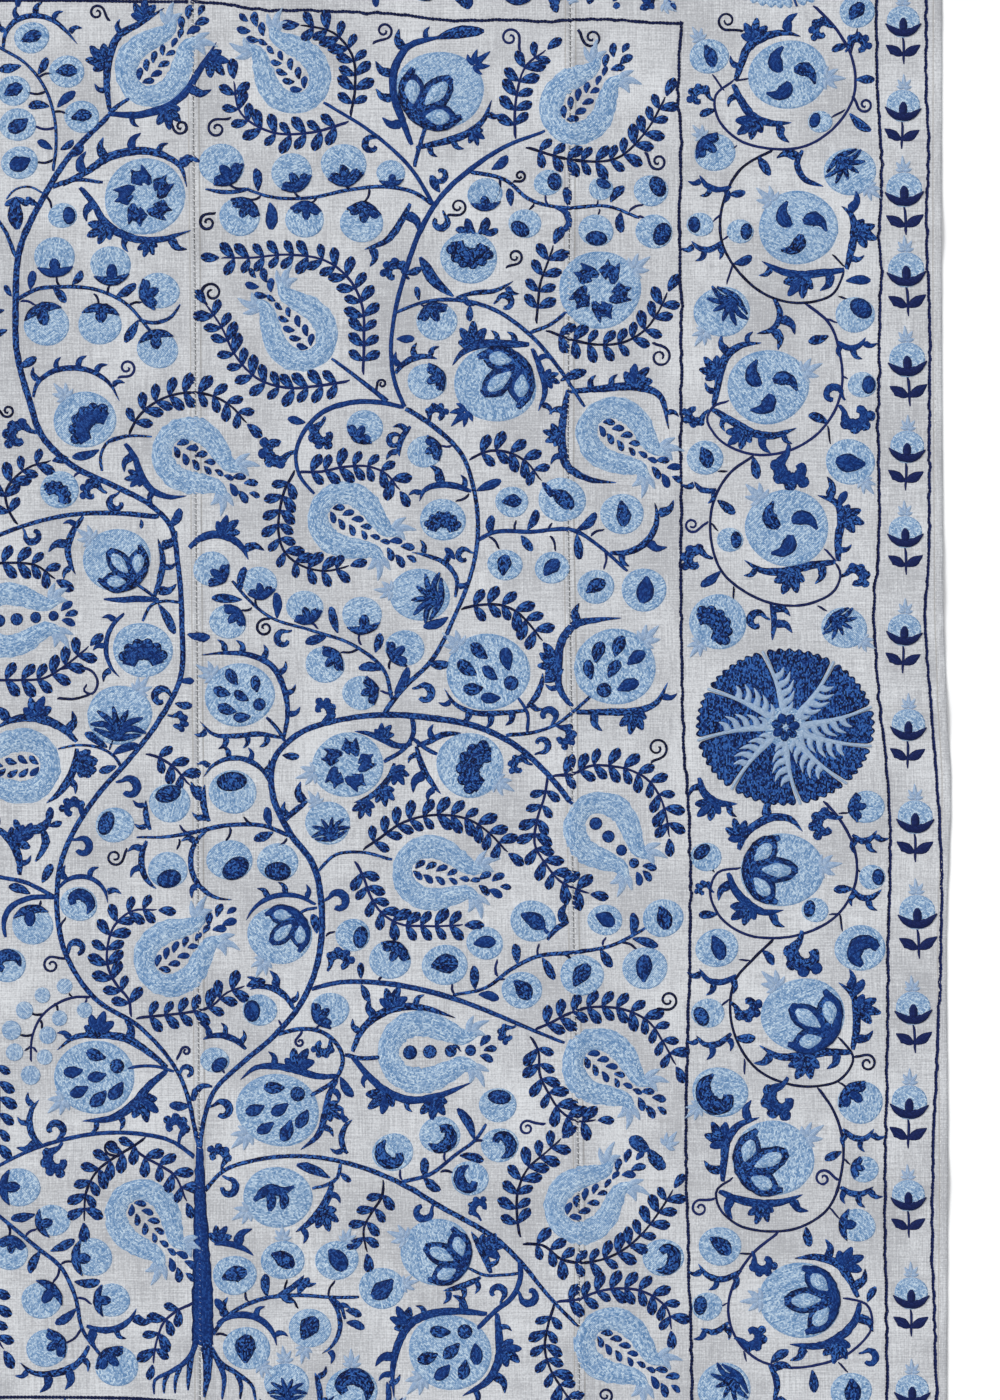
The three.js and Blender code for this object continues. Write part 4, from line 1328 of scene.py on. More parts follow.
# Round seeds: along, radius
ALMOND_PEARLS = [(-9, 7), (9, 6.8), (28, 6), (46, 5.5)]
# The pale tufts of the lips: along, aside, direction
ALMOND_TUFTS = [(46, 15, 42), (46, -16, -48)]
PEARL_FAN = [(60, 8, 34, 15), (64, 0, 0, 14), (60, -8, -36, 15)]


def almond(work, across, down, turn, pearls=False, size=1.0):
    """An almond with its mouth turned to a direction."""
    centre = spot(across, down)
    Needlework.begin()
    for along, aside, lean in ALMOND_TUFTS:
        root = turned([(along * size, aside * size)], turn, centre)[0]
        for spread, length in ((-50, 16), (-10, 24), (34, 19)):
            leaf(work["light"], root, turn + lean + spread, length, 9, BLADE_SHAPE, 0.12, dye=0.85)
    band = turned(size * np.array(ALMOND_LINE), turn, centre)
    work["light"].ribbon(band, size * np.array(ALMOND_WIDTHS), 0.3 * rng.random(), step=4.5, columns=7)
    if pearls:
        for along, radius in ALMOND_PEARLS:
            work["dark"].disc(turned([(along * size, 0)], turn, centre)[0], radius * size, outlined=False)
    for along, aside, lean, length in (PEARL_FAN if pearls else ALMOND_SEEDS + ALMOND_FAN):
        middle = turned([(along * size, aside * size)], turn, centre)[0]
        facing = turn + lean + rng.uniform(-10, 10)
        leaf(work["dark"], middle - ray(facing, length / 2), facing, length, 0.54 * length)
    Needlework.end()


# Almonds: across, down, direction of the mouth, whether the seeds are round
ALMONDS = [
    (153,69,50), (293,76,130), (300,333,128), (577,107,50), (190,455,-32), (346,520,-31), (615,435,-36),
    (602,830,-46,True), (600,1066,-36), (582,1205,40), (613,1345,-35), (172,958,38), (420,1052,2,True,1.1),
    (143,1217,-52), (8,620,5,True), (22,766,185), (431,873,-11),
]
for row in ALMONDS:
    almond(field, *row)

# Scrolls curl off the vines. They are worked in dark blue, some of them with scallops on their backs.
# Tendrils are single near-black threads, each couched down along a spiral.
COIL_WIDTHS = [3.0, 2.8, 2.6]
SCROLL_SWEEP, COIL_SWEEP = 285, 540
SCROLL_WIDTHS = np.array([0.24, 0.34, 0.6, 0.82, 0.86, 0.74, 0.62, 0.52])


def scroll(work, across, down, radius, turn, hand=1, lobed=False):
    """A thick hook that curls in from its foot, with scallops on its back if it is lobed."""
    centre = spot(across, down)
    sweeps = np.linspace(0, SCROLL_SWEEP, 7)
    reach = 0.84 if lobed else 0.95
    spiral = [centre + ray(turn + hand * sweep, radius * (reach - 0.42 * sweep / SCROLL_SWEEP))
              for sweep in sweeps]
    foot = centre + ray(turn - hand * 16, radius * 1.35)
    work.ribbon([foot, *spiral], radius * SCROLL_WIDTHS, step=2.6)
    if lobed:
        for sweep in (50, 95, 140, 185):
            root = centre + ray(turn + hand * sweep, radius * 0.66)
            leaf(work, root, turn + hand * (sweep + 18), 0.66 * radius, 0.7 * radius, LOBE_SHAPE, 0.0)


def tendril(work, across, down, radius, root_across, root_down, hand=1):
    """A thin stem that winds up into a spiral."""
    centre, root = spot(across, down), spot(root_across, root_down)
    off = root - centre
    start = math.degrees(math.atan2(off[1], off[0]))
    sweeps = np.linspace(40, COIL_SWEEP, 17)
    coil = [centre + ray(start + hand * sweep, radius * (1.05 - 0.85 * sweep / COIL_SWEEP))
            for sweep in sweeps]
    bend = centre + ray(start + hand * 8, 0.55 * radius + 0.45 * np.hypot(*off))
    work.line([root, bend, *coil], COIL_WIDTHS, 2.4)


# Scrolls: across, down, radius, direction of the foot, which way it winds, lobed
SCROLLS = [
    (20,436,14,25,1,True), (117,503,9,90,1), (93,492,11,10,1,True), (33,535,9,160,1), (372,145,9,60,1),
    (440,222,9,60,-1), (395,273,12,-10,1,True), (324,434,13,100,1,True), (277,450,15,-20,-1,True),
    (437,415,10,210,-1,True), (505,303,9,170,-1), (464,556,8,30,1), (284,639,9,60,1), (162,697,10,10,1),
    (178,722,9,130,-1,True), (129,788,11,140,-1), (73,810,11,-20,1,True), (82,847,10,130,-1),
    (85,766,10,190,1,True), (77,949,9,200,-1), (424,694,10,140,-1), (323,711,11,-80,1,True),
    (541,745,9,250,1), (520,766,10,20,1,True), (548,716,9,-60,1), (563,736,11,110,-1,True),
    (338,902,11,160,-1), (340,962,12,200,-1,True), (323,1046,10,30,-1,True), (508,1034,9,60,1,True),
    (187,1072,7,190,-1), (222,1110,10,150,-1), (175,1128,12,-60,1,True), (55,1130,10,-70,1),
    (58,1160,14,90,1,True), (218,1157,11,-60,1,True), (228,1187,10,100,-1), (423,1211,10,20,-1),
    (480,1208,10,-100,-1,True), (497,1293,9,-60,1), (529,1295,10,170,1), (395,441,8,40,1), (455,1050,5,0,1),
    (440,175,8,200,1),
]
# Tendrils: across, down, radius, root across, root down, which way it winds
TENDRILS = [
    (97,13,8,110,22), (181,127,8,168,118), (217,129,10,232,118), (384,31,9,372,44), (212,293,11,207,306,-1),
    (127,368,9,117,378), (510,38,10,520,52), (592,38,10,578,30), (658,162,9,645,152), (520,176,6,512,182),
    (458,207,9,446,216), (515,257,8,505,268), (660,357,11,652,342,-1), (265,628,9,272,618),
    (657,748,11,650,763), (668,1000,10,655,1009), (527,1128,8,546,1124), (115,857,9,128,848,-1),
    (52,965,9,69,958), (112,1147,8,120,1157,-1), (300,1042,5,303,1030), (186,1051,5,176,1060,-1),
    (382,384,5,375,394,-1), (8,411,7,-8,404), (605,1395,8,596,1408), (208,223,9,217,213),
]
for row in SCROLLS:
    scroll(field["dark"], *row)
for row in TENDRILS:
    tendril(field["navy"], *row)

# The wide border: a vine that loops from side to side, with a wrapped pomegranate in every loop.
# A large rosette of whorled petals stands in the middle of each side. The other sides mirror the right one.
LOOPS = [
    [(813,5), (838,32), (853,62), (854,95), (835,127), (803,147), (770,149), (735,138), (717,117), (715,97),
        (735,80)],
    [(775,149), (740,170), (723,203), (721,240), (740,274), (770,297), (805,303), (833,294), (845,270)],
    [(805,303), (830,325), (840,355), (842,385), (836,408), (815,436), (785,452), (750,454), (715,435),
        (707,418), (713,407), (730,401)],
    [(755,455), (730,473), (714,500), (711,540), (722,572), (745,592), (780,605), (812,603), (836,588),
        (840,573), (835,562)],
    [(823,800), (840,820), (853,845), (857,870), (852,893), (838,914), (805,933), (775,938), (745,934),
        (718,914), (710,890), (717,873), (742,868)],
    [(775,938), (752,960), (735,980), (730,1008), (738,1043), (758,1070), (785,1083), (815,1086),
        (840,1079), (853,1058), (838,1036)],
    [(817,1086), (834,1112), (843,1145), (841,1172), (828,1208), (800,1227), (765,1231), (735,1223),
        (718,1205), (716,1191), (734,1177)],
    [(780,1231), (752,1254), (735,1280), (728,1308), (736,1338), (757,1359), (785,1367), (820,1364),
        (853,1350), (872,1325), (868,1306), (842,1297)],
    [(770,1363), (775,1385), (776,1410)],
]
BORDER_TWIGS = [
    (826,318,838,324), (842,375,848,380), (828,425,830,445), (728,472,717,471), (711,522,718,532),
    (734,586,733,600), (817,605,827,612), (838,813,850,813), (714,873,712,868), (856,868,861,873),
    (840,913,842,932), (840,914,828,914), (750,961,738,959), (730,999,720,1006), (745,1058,744,1075),
    (838,1081,848,1088), (843,1157,850,1165), (829,1206,840,1220), (752,1254,738,1253), (728,1303,720,1306),
    (744,1350,746,1362), (838,1361,848,1373), (724,92,712,74), (733,264,726,285), (838,296,848,300),
    (738,146,730,150), (722,214,712,222), (722,240,730,236), (846,110,830,118), (850,55,858,28),
    (832,254,845,268), (824,548,836,562), (735,81,750,79),
]
# Wrapped pomegranates: across, down, radius, mark, direction of the stem, direction of the crown
BORDER_FRUITS = [
    (788,75,38,drops,188,-5), (798,228,38,drops,-40,135), (768,387,39,drops,200,22),
    (787,528,40,drops,-35,132), (782,870,40,petals,178,5), (803,1015,40,petals,-34,132),
    (773,1158,40,petals,203,32), (800,1300,40,petals,3,180),
]
# Lesser fruits: across, down, radius, mark, its direction, direction of the crown if any
BORDER_BERRIES = [
    (709,57,19,seed,110,118), (857,12,17,seed,230), (820,122,12,bite,165), (715,153,20,sepals,140,128),
    (850,172,25,palm,128,-42), (700,225,13,bite,180), (740,232,13,bite,0), (722,312,27,palm,48,230),
    (855,315,19,bite,48), (862,385,14,bite,0), (705,458,18,seed,110), (850,462,24,seed,-8,-55),
    (730,540,13,bite,0), (718,622,28,carnation,218,230), (844,628,22,palm,132,-35), (866,807,18,sepals,182),
    (706,857,15,bite,130), (872,877,13,bite,0), (860,948,25,arch,-42), (717,948,21,seed,110),
    (815,910,13,bite,165), (708,1013,16,bite,205), (720,1092,27,hook,205,215), (860,1102,22,sepals,135),
    (864,1169,14,sepals,165), (857,1225,18,cap,180), (720,1246,21,seed,140), (707,1306,15,bite,170),
    (724,1388,26,palm,42), (851,1391,20,seed,90),
]
# Fronds and toothed collars: side, lobes, the places that they pass
BORDER_FRONDS = [
    (1, "tFT", [(735,82), (741,65), (748,48), (765,37), (785,33), (801,37)]),
    (-1, "tFT", [(733,84), (742,103), (752,116), (768,123), (792,123)]),
    (-1, "tFT", [(846,270), (851,250), (854,232), (851,215), (841,206)]),
    (1, "TFt", [(845,270), (822,273), (798,275), (778,270), (761,261)]),
    (1, "tFTt", [(713,407), (717,390), (720,372), (726,357), (740,346), (762,343)]),
    (-1, "tFTt", [(712,409), (733,422), (752,433), (772,436), (797,428)]),
    (-1, "tFT", [(838,562), (838,540), (841,520), (838,505), (817,495)]),
    (1, "TFt", [(836,562), (808,566), (780,572), (760,570), (744,560)]),
    (1, "FT-", [(738,850), (745,835), (757,824), (775,817), (790,819), (803,832)]),
    (-1, "TFT", [(728,872), (735,890), (747,903), (763,912), (784,910)]),
    (-1, "TFT", [(852,1050), (856,1030), (856,1010), (853,995), (838,982)]),
    (1, "TFT", [(852,1052), (825,1052), (800,1056), (778,1056), (759,1045)]),
    (1, "TFT", [(722,1182), (724,1160), (727,1140), (736,1127), (760,1117)]),
    (-1, "TFT", [(718,1190), (735,1198), (757,1203), (780,1202), (803,1194)]),
    (-1, "TFT-", [(858,1298), (850,1280), (838,1264), (818,1257), (794,1258)]),
    (1, "TFT", [(860,1302), (855,1320), (842,1335), (822,1345), (789,1344)]),
    (-1, "T-", [(803,150), (797,163), (803,178), (824,187)]),
    (-1, "tFt", [(699,777), (704,793), (716,802), (738,804)]),
    (1, "ttt", [(732,187), (718,190), (707,186), (699,175)]),
    (1, "ttt", [(723,242), (709,250), (698,248), (691,241)]),
    (1, "ttt", [(737,975), (722,982), (708,980), (699,968)]),
    (1, "ttt", [(732,1033), (717,1044), (704,1044), (696,1035)]),
    (1, "ttt", [(742,1270), (722,1279), (707,1275), (698,1263)]),
    (1, "tt", [(729,1322), (714,1332), (700,1328)]),
    (-1, "tt-", [(852,888), (860,897), (870,898), (882,889)]),
    (-1, "ttt", [(842,1128), (853,1137), (865,1138), (874,1128)]),
    (-1, "ttt", [(840,1186), (851,1193), (863,1193), (873,1186)]),
    (1, "-TT-", [(774,298), (780,314), (773,329), (756,334)]),
    (1, "TT-", [(771,603), (774,620), (772,641)]),
    (-1, "ttt", [(836,341), (848,348), (859,346), (866,337)]),
    (1, "tt", [(717,490), (707,491), (700,489), (694,481)]),
    (-1, "ttt", [(852,834), (861,841), (870,839), (877,830)]),
    (1, "TT", [(769,1363), (777,1382), (773,1404)]),
]
BORDER_LEAVES = [
    (829,336,195,22), (829,424,156,23), (753,456,-80,24), (717,500,-38,23), (721,571,216,26),
    (853,889,182,20), (718,914,182,20), (762,950,-54,19), (734,1038,0,22), (842,1151,205,20),
    (806,1226,-80,21), (867,1302,60,18), (770,1363,34,23), (812,1369,-85,24), (848,45,200,18),
    (855,80,0,20), (849,113,-40,29), (757,156,-58,24), (728,195,8,18), (733,264,22,21), (845,281,0,26),
    (838,508,62,19), (853,997,58,21), (716,110,200,18),
]
BORDER_SCROLLS = [
    (700,98,11,0,1,True), (822,31,11,30,1,True), (858,46,11,190,-1,True), (856,415,15,165,1,True),
    (793,468,18,115,1,True), (695,414,11,0,-1,True), (696,560,13,20,1,True), (855,578,12,160,-1,True),
    (833,395,10,-10,1), (757,621,10,20,1), (826,825,14,40,1,True), (704,890,8,0,1,True),
    (806,954,18,115,1,True), (746,1006,13,180,1,True), (782,1099,17,90,1,True), (869,1358,9,140,-1),
    (763,1262,12,150,1,True), (751,1336,13,200,1,True),
]
BORDER_TENDRILS = [
    (727,21,10,744,32,-1), (865,105,8,852,96), (692,525,8,709,522,-1), (867,1063,9,853,1056,-1),
    (823,1178,9,839,1180), (700,1208,9,716,1198),
]
MID_ROSETTE, CORNER_ROSETTE, LOW_ROSETTE = (785, 727), (782, -78), (784, 1496)
MID_RADIUS, MID_FLATNESS, CORNER_RADIUS = 90, 0.88, 87
# Where the dividers of a rosette meet its rim, in degrees, and how far they turn towards the middle
DIVIDERS = [105, 57, 15, -14, -46, -80, -127, -170, -209]
ROSETTE_TWIST = 12
DIVIDER_WIDTHS = np.array([0.07, 0.075, 0.065, 0.05, 0.04, 0.033, 0.028, 0.025])
DIVIDER_RISE, DIVIDER_DYE, TOOTH_DYE = 0.6, 1.4, 1.3
# Teeth of a divider: how far out each stands, its length. Then their lean and width.
DIVIDER_TEETH = [(0.26, 0.15), (0.36, 0.2), (0.47, 0.23), (0.58, 0.22), (0.69, 0.16)]
TOOTH_LEAN, TOOTH_WIDTH = -50, 0.072
# The ends of the petals: degrees between a petal and a divider, degrees to a scallop, its foot and its height
PETAL_GAP, SCALLOP_TURN, SCALLOP_FOOT, SCALLOP_HEIGHT = 1.6, 6.2, 0.955, 0.045
LOOP_WIDTHS, LOOP_RISE = [3.1, 2.8, 2.8, 2.6], 0.8
BORDER_TWIG_WIDTHS, BORDER_TWIG_RISE = [2.4, 2.0], 0.9


def rosette(petal_work, divider_work, centre, radius, flatness):
    """Whorled petals with scalloped ends, parted by pale toothed leaves, round a small blossom."""
    def place(turn, share):
        return centre + ray(turn + ROSETTE_TWIST * (share - 1), radius * share) * (1, flatness)

    for last, first in zip(DIVIDERS, DIVIDERS[1:] + [DIVIDERS[0] - 360]):
        first, last = first + PETAL_GAP, last - PETAL_GAP
        scallop_count = max(4, round((last - first) / SCALLOP_TURN))
        rim = np.linspace(first + 0.5, last - 0.5, 7 * scallop_count)
        bumps = np.abs(np.sin(np.pi * scallop_count * (rim - first) / (last - first)))
        ends = SCALLOP_FOOT + SCALLOP_HEIGHT * bumps
        side = np.linspace(0.2, 0.94, 9)
        outline = [place(first, share) for share in side]
        outline += [place(turn, share) for turn, share in zip(rim, ends)]
        outline += [place(last, share) for share in side[::-1]]
        middle = place((first + last) / 2, 0.66)
        petal_work.pad(outline, middle, 0.4 * rng.random(), rows_turn=rng.uniform(-8, 8))
    for parting in DIVIDERS:
        line = [place(parting, share) for share in np.linspace(0.12, 0.99, 8)]
        widths = radius * DIVIDER_WIDTHS
        divider_work.ribbon(line, widths, DIVIDER_DYE, base=LAID_ON, rise=DIVIDER_RISE, step=4.0)
        for share, length in DIVIDER_TEETH:
            lean = parting + ROSETTE_TWIST * (share - 1) + TOOTH_LEAN
            leaf(divider_work, place(parting, share - 0.06), lean, radius * length, radius * TOOTH_WIDTH,
                 BLADE_SHAPE, -0.16, LAID_ON, TOOTH_DYE)
    divider_work.disc(centre, radius * 0.23, 0.5, base=LAID_ON, rise=DIVIDER_RISE)
    for seventh in range(7):
        turn = 360 / 7 * seventh
        root = centre + ray(turn, radius * 0.03)
        leaf(petal_work, root, turn + 12, radius * 0.13, radius * 0.09, LEAF_SHAPE, 0.0, 2 * LAID_ON)


side_work = {thread: Needlework() for thread in THREADS}
for points in LOOPS:
    side_work["navy"].line(spots(points), LOOP_WIDTHS, 5.0, LOOP_RISE)
for from_across, from_down, to_across, to_down in BORDER_TWIGS:
    twig = [spot(from_across, from_down), spot(to_across, to_down)]
    side_work["navy"].line(twig, BORDER_TWIG_WIDTHS, 4.0, BORDER_TWIG_RISE)
for row in BORDER_FRUITS + BORDER_BERRIES:
    fruit(side_work, *row)
for side, lobes, points in BORDER_FRONDS:
    frond(side_work["dark"], spots(points), side, lobes)
for across, down, turn, length in BORDER_LEAVES:
    leaf(side_work["dark"], spot(across, down), turn, length, bend=rng.uniform(*LEAF_BENDS))
for row in BORDER_SCROLLS:
    scroll(side_work["dark"], *row)
for row in BORDER_TENDRILS:
    tendril(side_work["navy"], *row)
rosette(side_work["dark"], side_work["light"], spot(*MID_ROSETTE), MID_RADIUS, MID_FLATNESS)
corner_work = {thread: Needlework() for thread in THREADS}
for corner in (CORNER_ROSETTE, LOW_ROSETTE):
    rosette(corner_work["light"], corner_work["dark"], spot(*corner), CORNER_RADIUS, 1.0)


def to_head(place):
    """A right-hand border patch reflected about the upper corner onto the head border."""
    corner = spot(*CORNER_ROSETTE)
    return corner + (place - corner)[:, ::-1]


def to_foot(place):
    """A right-hand border patch reflected about the lower corner onto the foot border."""
    corner = spot(*LOW_ROSETTE)
    return corner - (place - corner)[:, ::-1]


# Lesser fruits and leaves that hang over the head line at the top of the photo
HEAD_FRUITS = [(425, -13, 16, bite, -90), (518, -12, 17, cap, -80), (360, -18, 17, bite, -90)]
HEAD_LEAVES = [
    (373,-8,-80,16), (455,0,-30,18), (470,-6,-100,16), (548,-2,-60,18), (560,-4,-130,16), (640,-2,-40,18),
    (655,0,-150,18), (668,0,-60,14),
]
for row in HEAD_FRUITS:
    fruit(corner_work, *row)
for across, down, turn, length in HEAD_LEAVES:
    leaf(corner_work["dark"], spot(across, down), turn, length)
# How far along the side border its copies onto the head and the foot reach
HEAD_END, FOOT_END = spot(0, 460)[1], spot(0, 935)[1]
# How high the lower edge of the head border's copies has to stay: from the centre seam, along
HEAD_CLEAR = [(0, 714), (200, 714), (350, 706), (480, 694)]


def clear_of_line(place):
    """True if a patch of the right-hand border may be copied onto the head border."""
    copy = to_head(place)
    lowest = np.interp(copy[:, 0], *np.transpose(HEAD_CLEAR))
    return place[:, 1].min() > HEAD_END and bool((copy[:, 1] > lowest).all())


# The part of the field that lies left of the photo, in the same silks as the rest.
# Whole motifs of the right side are copied there, wherever nothing else stands in their way.
SQUARE, CROWDED = 6.0, 0.05


def squares(place):
    """The small squares of the cloth that a patch touches."""
    return set(map(tuple, np.floor(place / SQUARE).astype(int)))


taken = set()
motifs = {}
for thread, work in field.items():
    for number, patch in enumerate(work.patches):
        if patch[0][:, 0].min() < -SEAM_PIXEL:
            taken |= squares(patch[0])
        motifs.setdefault(patch[6] or (thread, number), []).append((thread, patch))
for parts in motifs.values():
    if all(unseen_left(patch[0]) for thread, patch in parts):
        copy_squares = set().union(*(squares(to_left(patch[0])) for thread, patch in parts))
        if len(copy_squares & taken) <= CROWDED * len(copy_squares):
            for thread, patch in parts:
                back = [face[::-1] for face in patch[5]]
                field[thread].patches.append((to_left(patch[0]), *patch[1:5], back, patch[6]))

# The middle of the head and foot borders, where the copies of the side borders end.
# Each has a wrapped fruit and two lesser ones, in the same silks.
END_FRUITS = [
    (197,-84,36,whorl,90), (197,-143,15,seed,90), (197,-25,15,seed,-90), (197,1500,29,drops,90),
    (197,1447,15,seed,90), (197,1555,16,seed,-90),
]
END_FRONDS = [
    (197,-84,48,44,-60,60,"tFt"), (197,-84,48,44,240,120,"tFt"), (197,1500,40,36,-60,60,"tft"),
    (197,1500,40,36,240,120,"tft"),
]
END_LEAVES = [
    (212,-140,20,22), (182,-140,160,22), (212,-28,-20,22), (182,-28,200,22), (210,1452,25,18),
    (184,1452,155,18), (212,1552,-25,18), (182,1552,205,18),
]
# Motifs of their own in the gaps that the copies leave
LEFT_FRUITS = [
    (-42,922,18,seed,60), (-122,898,18,cap,200), (-32,497,15,seed,20), (-92,1000,15,cap,100),
    (-20,1105,16,seed,-60),
]
LEFT_LEAVES = [
    (-70,915,160,24), (-62,950,215,24), (-100,925,-60,22), (-50,990,30,22), (-15,520,200,20),
    (-48,475,130,20), (-120,1010,200,24), (-50,1100,170,24), (-25,905,70,20),
]
almond(field, -58, 1052, 180, True)
for row in END_FRUITS + LEFT_FRUITS:
    fruit(field, *row)
for row in END_FRONDS:
    wrap(field["dark"], *row)
for across, down, turn, length in END_LEAVES + LEFT_LEAVES:
    leaf(field["dark"], spot(across, down), turn, length)

for thread in ("light", "dark", "navy"):
    right = side_work[thread]
    head = right.copied(to_head, clear_of_line)
    foot = right.copied(to_foot, lambda place: place[:, 1].max() < FOOT_END)
    half = Needlework()
    half.patches = right.patches + head.patches + foot.patches + corner_work[thread].patches
    sew(f"border_right_{thread}", thread, half.mesh(f"border_right_{thread}"))
    sew(f"border_left_{thread}", thread, half.copied(mirrored).mesh(f"border_left_{thread}"))
    sew(f"tree_{thread}", thread, field[thread].mesh(f"tree_{thread}"))

# Frame lines round the field and on both sides of the narrow guard border, in near-black chain stitch.
# Each is a row of looped stitches over a couched thread, drawn by hand and so not quite straight.
LINK_SPACING = 3.5
LINK_LENGTH, LINK_WIDTH = 5.0, 3.0
LINK_SWAY, LINK_SCALE, LINK_DYE = 0.12, (0.9, 1.12), 0.6
LINK_STRAND = np.array([(-0.5, 0), (-0.15, 0.3), (0.25, 0.28), (0.5, 0.05)])
STRAND_WIDTHS, STRAND_RISE = [1.1, 1.5, 1.5, 1.2], 1.0
CORE_WIDTHS, CORE_RISE, CORE_DYE = [2.1, 2.1], 0.45, 0.2
LINE_STEP, LINE_WAVER = 6.0, 0.5
LEFT_HEAD_LINE = [(-287, 22), (-150, 10), (0, 1), (90, 1), (150, 2), (186, 2)]
HEAD_LINE = [
    (193,2), (222,4), (250,9), (300,11), (350,12), (400,15), (455,21), (500,20), (550,22), (580,20),
    (640,22), (681,24),
]
FIELD_SIDE = [
    (681,24), (678,100), (681,140), (679,220), (681,300), (681,450), (681,600), (682,700), (684,750),
    (688,800), (690,860), (690,950), (687,1050), (686,1130), (688,1250), (691,1350), (692,1416),
]
FOOT_LINE = [(692, 1416), (560, 1414), (420, 1411), (300, 1409), (197, 1403)]
LEFT_FOOT_LINE = [(197, 1403), (150, 1399), (60, 1397), (0, 1397), (-150, 1404), (-297, 1416)]
INNER_GUARD = [
    (876,-172), (876,0), (878,110), (881,150), (881,200), (879,240), (881,265), (880,300), (878,420),
    (877,560), (874,590), (878,690), (883,740), (888,790), (890,850), (888,950), (887,1050), (885,1150),
    (885,1250), (886,1300), (887,1400), (885,1592),
]
OUTER_GUARD = [
    (926,-224), (926,0), (926,80), (928,150), (926,230), (929,300), (929,420), (928,560), (925,610),
    (930,700), (937,790), (941,860), (940,950), (937,1050), (933,1150), (932,1250), (934,1310), (936,1400),
    (934,1643),
]
INNER_HEAD = [(197, -170), (420, -175), (660, -171), (876, -172)]
INNER_FOOT = [(885, 1592), (640, 1595), (400, 1590), (197, 1593)]
OUTER_HEAD = [(197, -222), (450, -226), (700, -223), (926, -224)]
OUTER_FOOT = [(934, 1643), (650, 1646), (420, 1642), (197, 1645)]

chain_tree, chain, close_chain = node_tree("chain_stitch", {"Spacing": "Float"})
links = spaced(chain)
link_turn = heading(links) + chance(links, -LINK_SWAY, LINK_SWAY, chain["Seed"])
link_scale = chance(links, *LINK_SCALE, chain["Seed"] + 1)
close_chain(plant(links, chain, link_turn, link_scale, chance(links, 0.0, LINK_DYE, chain["Seed"] + 2)))

FRAME_LINES = {"field_line": (HEAD_LINE, FIELD_SIDE, FOOT_LINE),
               "inner_guard_line": (INNER_HEAD, INNER_GUARD, INNER_FOOT),
               "outer_guard_line": (OUTER_HEAD, OUTER_GUARD, OUTER_FOOT)}
for seed_number, (name, runs) in enumerate(FRAME_LINES.items()):
    half_lines = [smooth(spots(points), LINE_STEP)[0] for points in runs]
    for line in half_lines:
        line[1:-1] += LINE_WAVER * rng.standard_normal((len(line) - 2, 2))
    same_on_left = half_lines[1:2] if name == "field_line" else half_lines
    lines = half_lines + [mirrored(line) for line in same_on_left]
    if name == "field_line":
        lines += [smooth(spots(points), LINE_STEP)[0] for points in (LEFT_HEAD_LINE, LEFT_FOOT_LINE)]
    under = Needlework()
    for line in lines:
        under.line(line, CORE_WIDTHS, 8.0, CORE_RISE, CORE_DYE)
    sew(f"{name}_core", "navy", under.mesh(f"{name}_core"))
    link = Needlework()
    for way in (1, -1):
        link.line(LINK_STRAND * (LINK_LENGTH, way * LINK_WIDTH), STRAND_WIDTHS, 1.8, STRAND_RISE)
    link_pattern = show("link", link.mesh("link", laid=False))
    sew(name, "navy", grow(name, curve_of(lines), chain_tree, {
        "Pattern": link_pattern, "Spacing": LINK_SPACING * MM, "Seed": 20 + 5 * seed_number,
        "Material": NAVY_SILK}))

# The narrow guard border: a row of small pomegranates, each on its own stem with two leaves.
# The fruit is sky blue with a pale crown, and its calyx, stem and leaves are near-black.
SPROUT_DOWN = [
    -134, -52, 22, 106, 190, 270, 360, 447, 532, 630, 725, 817, 912, 1008, 1102, 1195, 1293, 1390, 1484,
    1562,
]
SPROUT_ACROSS = [
    902, 902, 903, 903, 904, 906, 907, 907, 905, 904, 908, 915, 917, 913, 909, 908, 911, 912, 911, 910,
]
SPROUT_RADIUS = 18.0
SPROUT_DYE = 0.75
SPROUT_SWAY, SPROUT_SCALE = 0.06, (0.93, 1.05)
BUD_SHAPE = np.array([0.8, 0.8, 0.95, 1.0, 0.8, 0.3])
LENS_SHAPE = np.array([0.2, 0.65, 0.95, 1.0, 0.8, 0.45, 0.08])
END_SPROUT_PITCH, END_SPROUT_COUNT = 91.0, 16
HEAD_GUARD_DOWN, FOOT_GUARD_DOWN = -198, 1619


def sprout_light(work):
    """Crown and filling."""
    crown(work, np.zeros(2), SPROUT_RADIUS, 90, 1.0)
    work.disc(np.zeros(2), SPROUT_RADIUS, 0.2, rise=FILLING_RISE, oval=0.94)


def sprout_navy(work):
    """Calyx and bud, stem, and two leaves."""
    calyx = [(-19, -2), (-10, -9.5), (0, -12), (10, -9.5), (19, -2)]
    work.ribbon(calyx, [1, 5.5, 7.5, 8, 7.5, 5.5, 1], SPROUT_DYE, base=LAID_ON, step=3.0)
    leaf(work, np.array([0.0, -11.0]), 90, 15, 8.5, BUD_SHAPE, 0.0, LAID_ON, SPROUT_DYE)
    work.line([(0, -15), (0.6, -31), (0, -46)], [3.2, 2.9, 2.6], 6.0, 0.9, SPROUT_DYE)
    for way in (1, -1):
        leaf(work, np.array([0.0, -36.0]), 90 - way * 58, 22, 10.5, LENS_SHAPE, way * -0.02, 0.0, SPROUT_DYE)


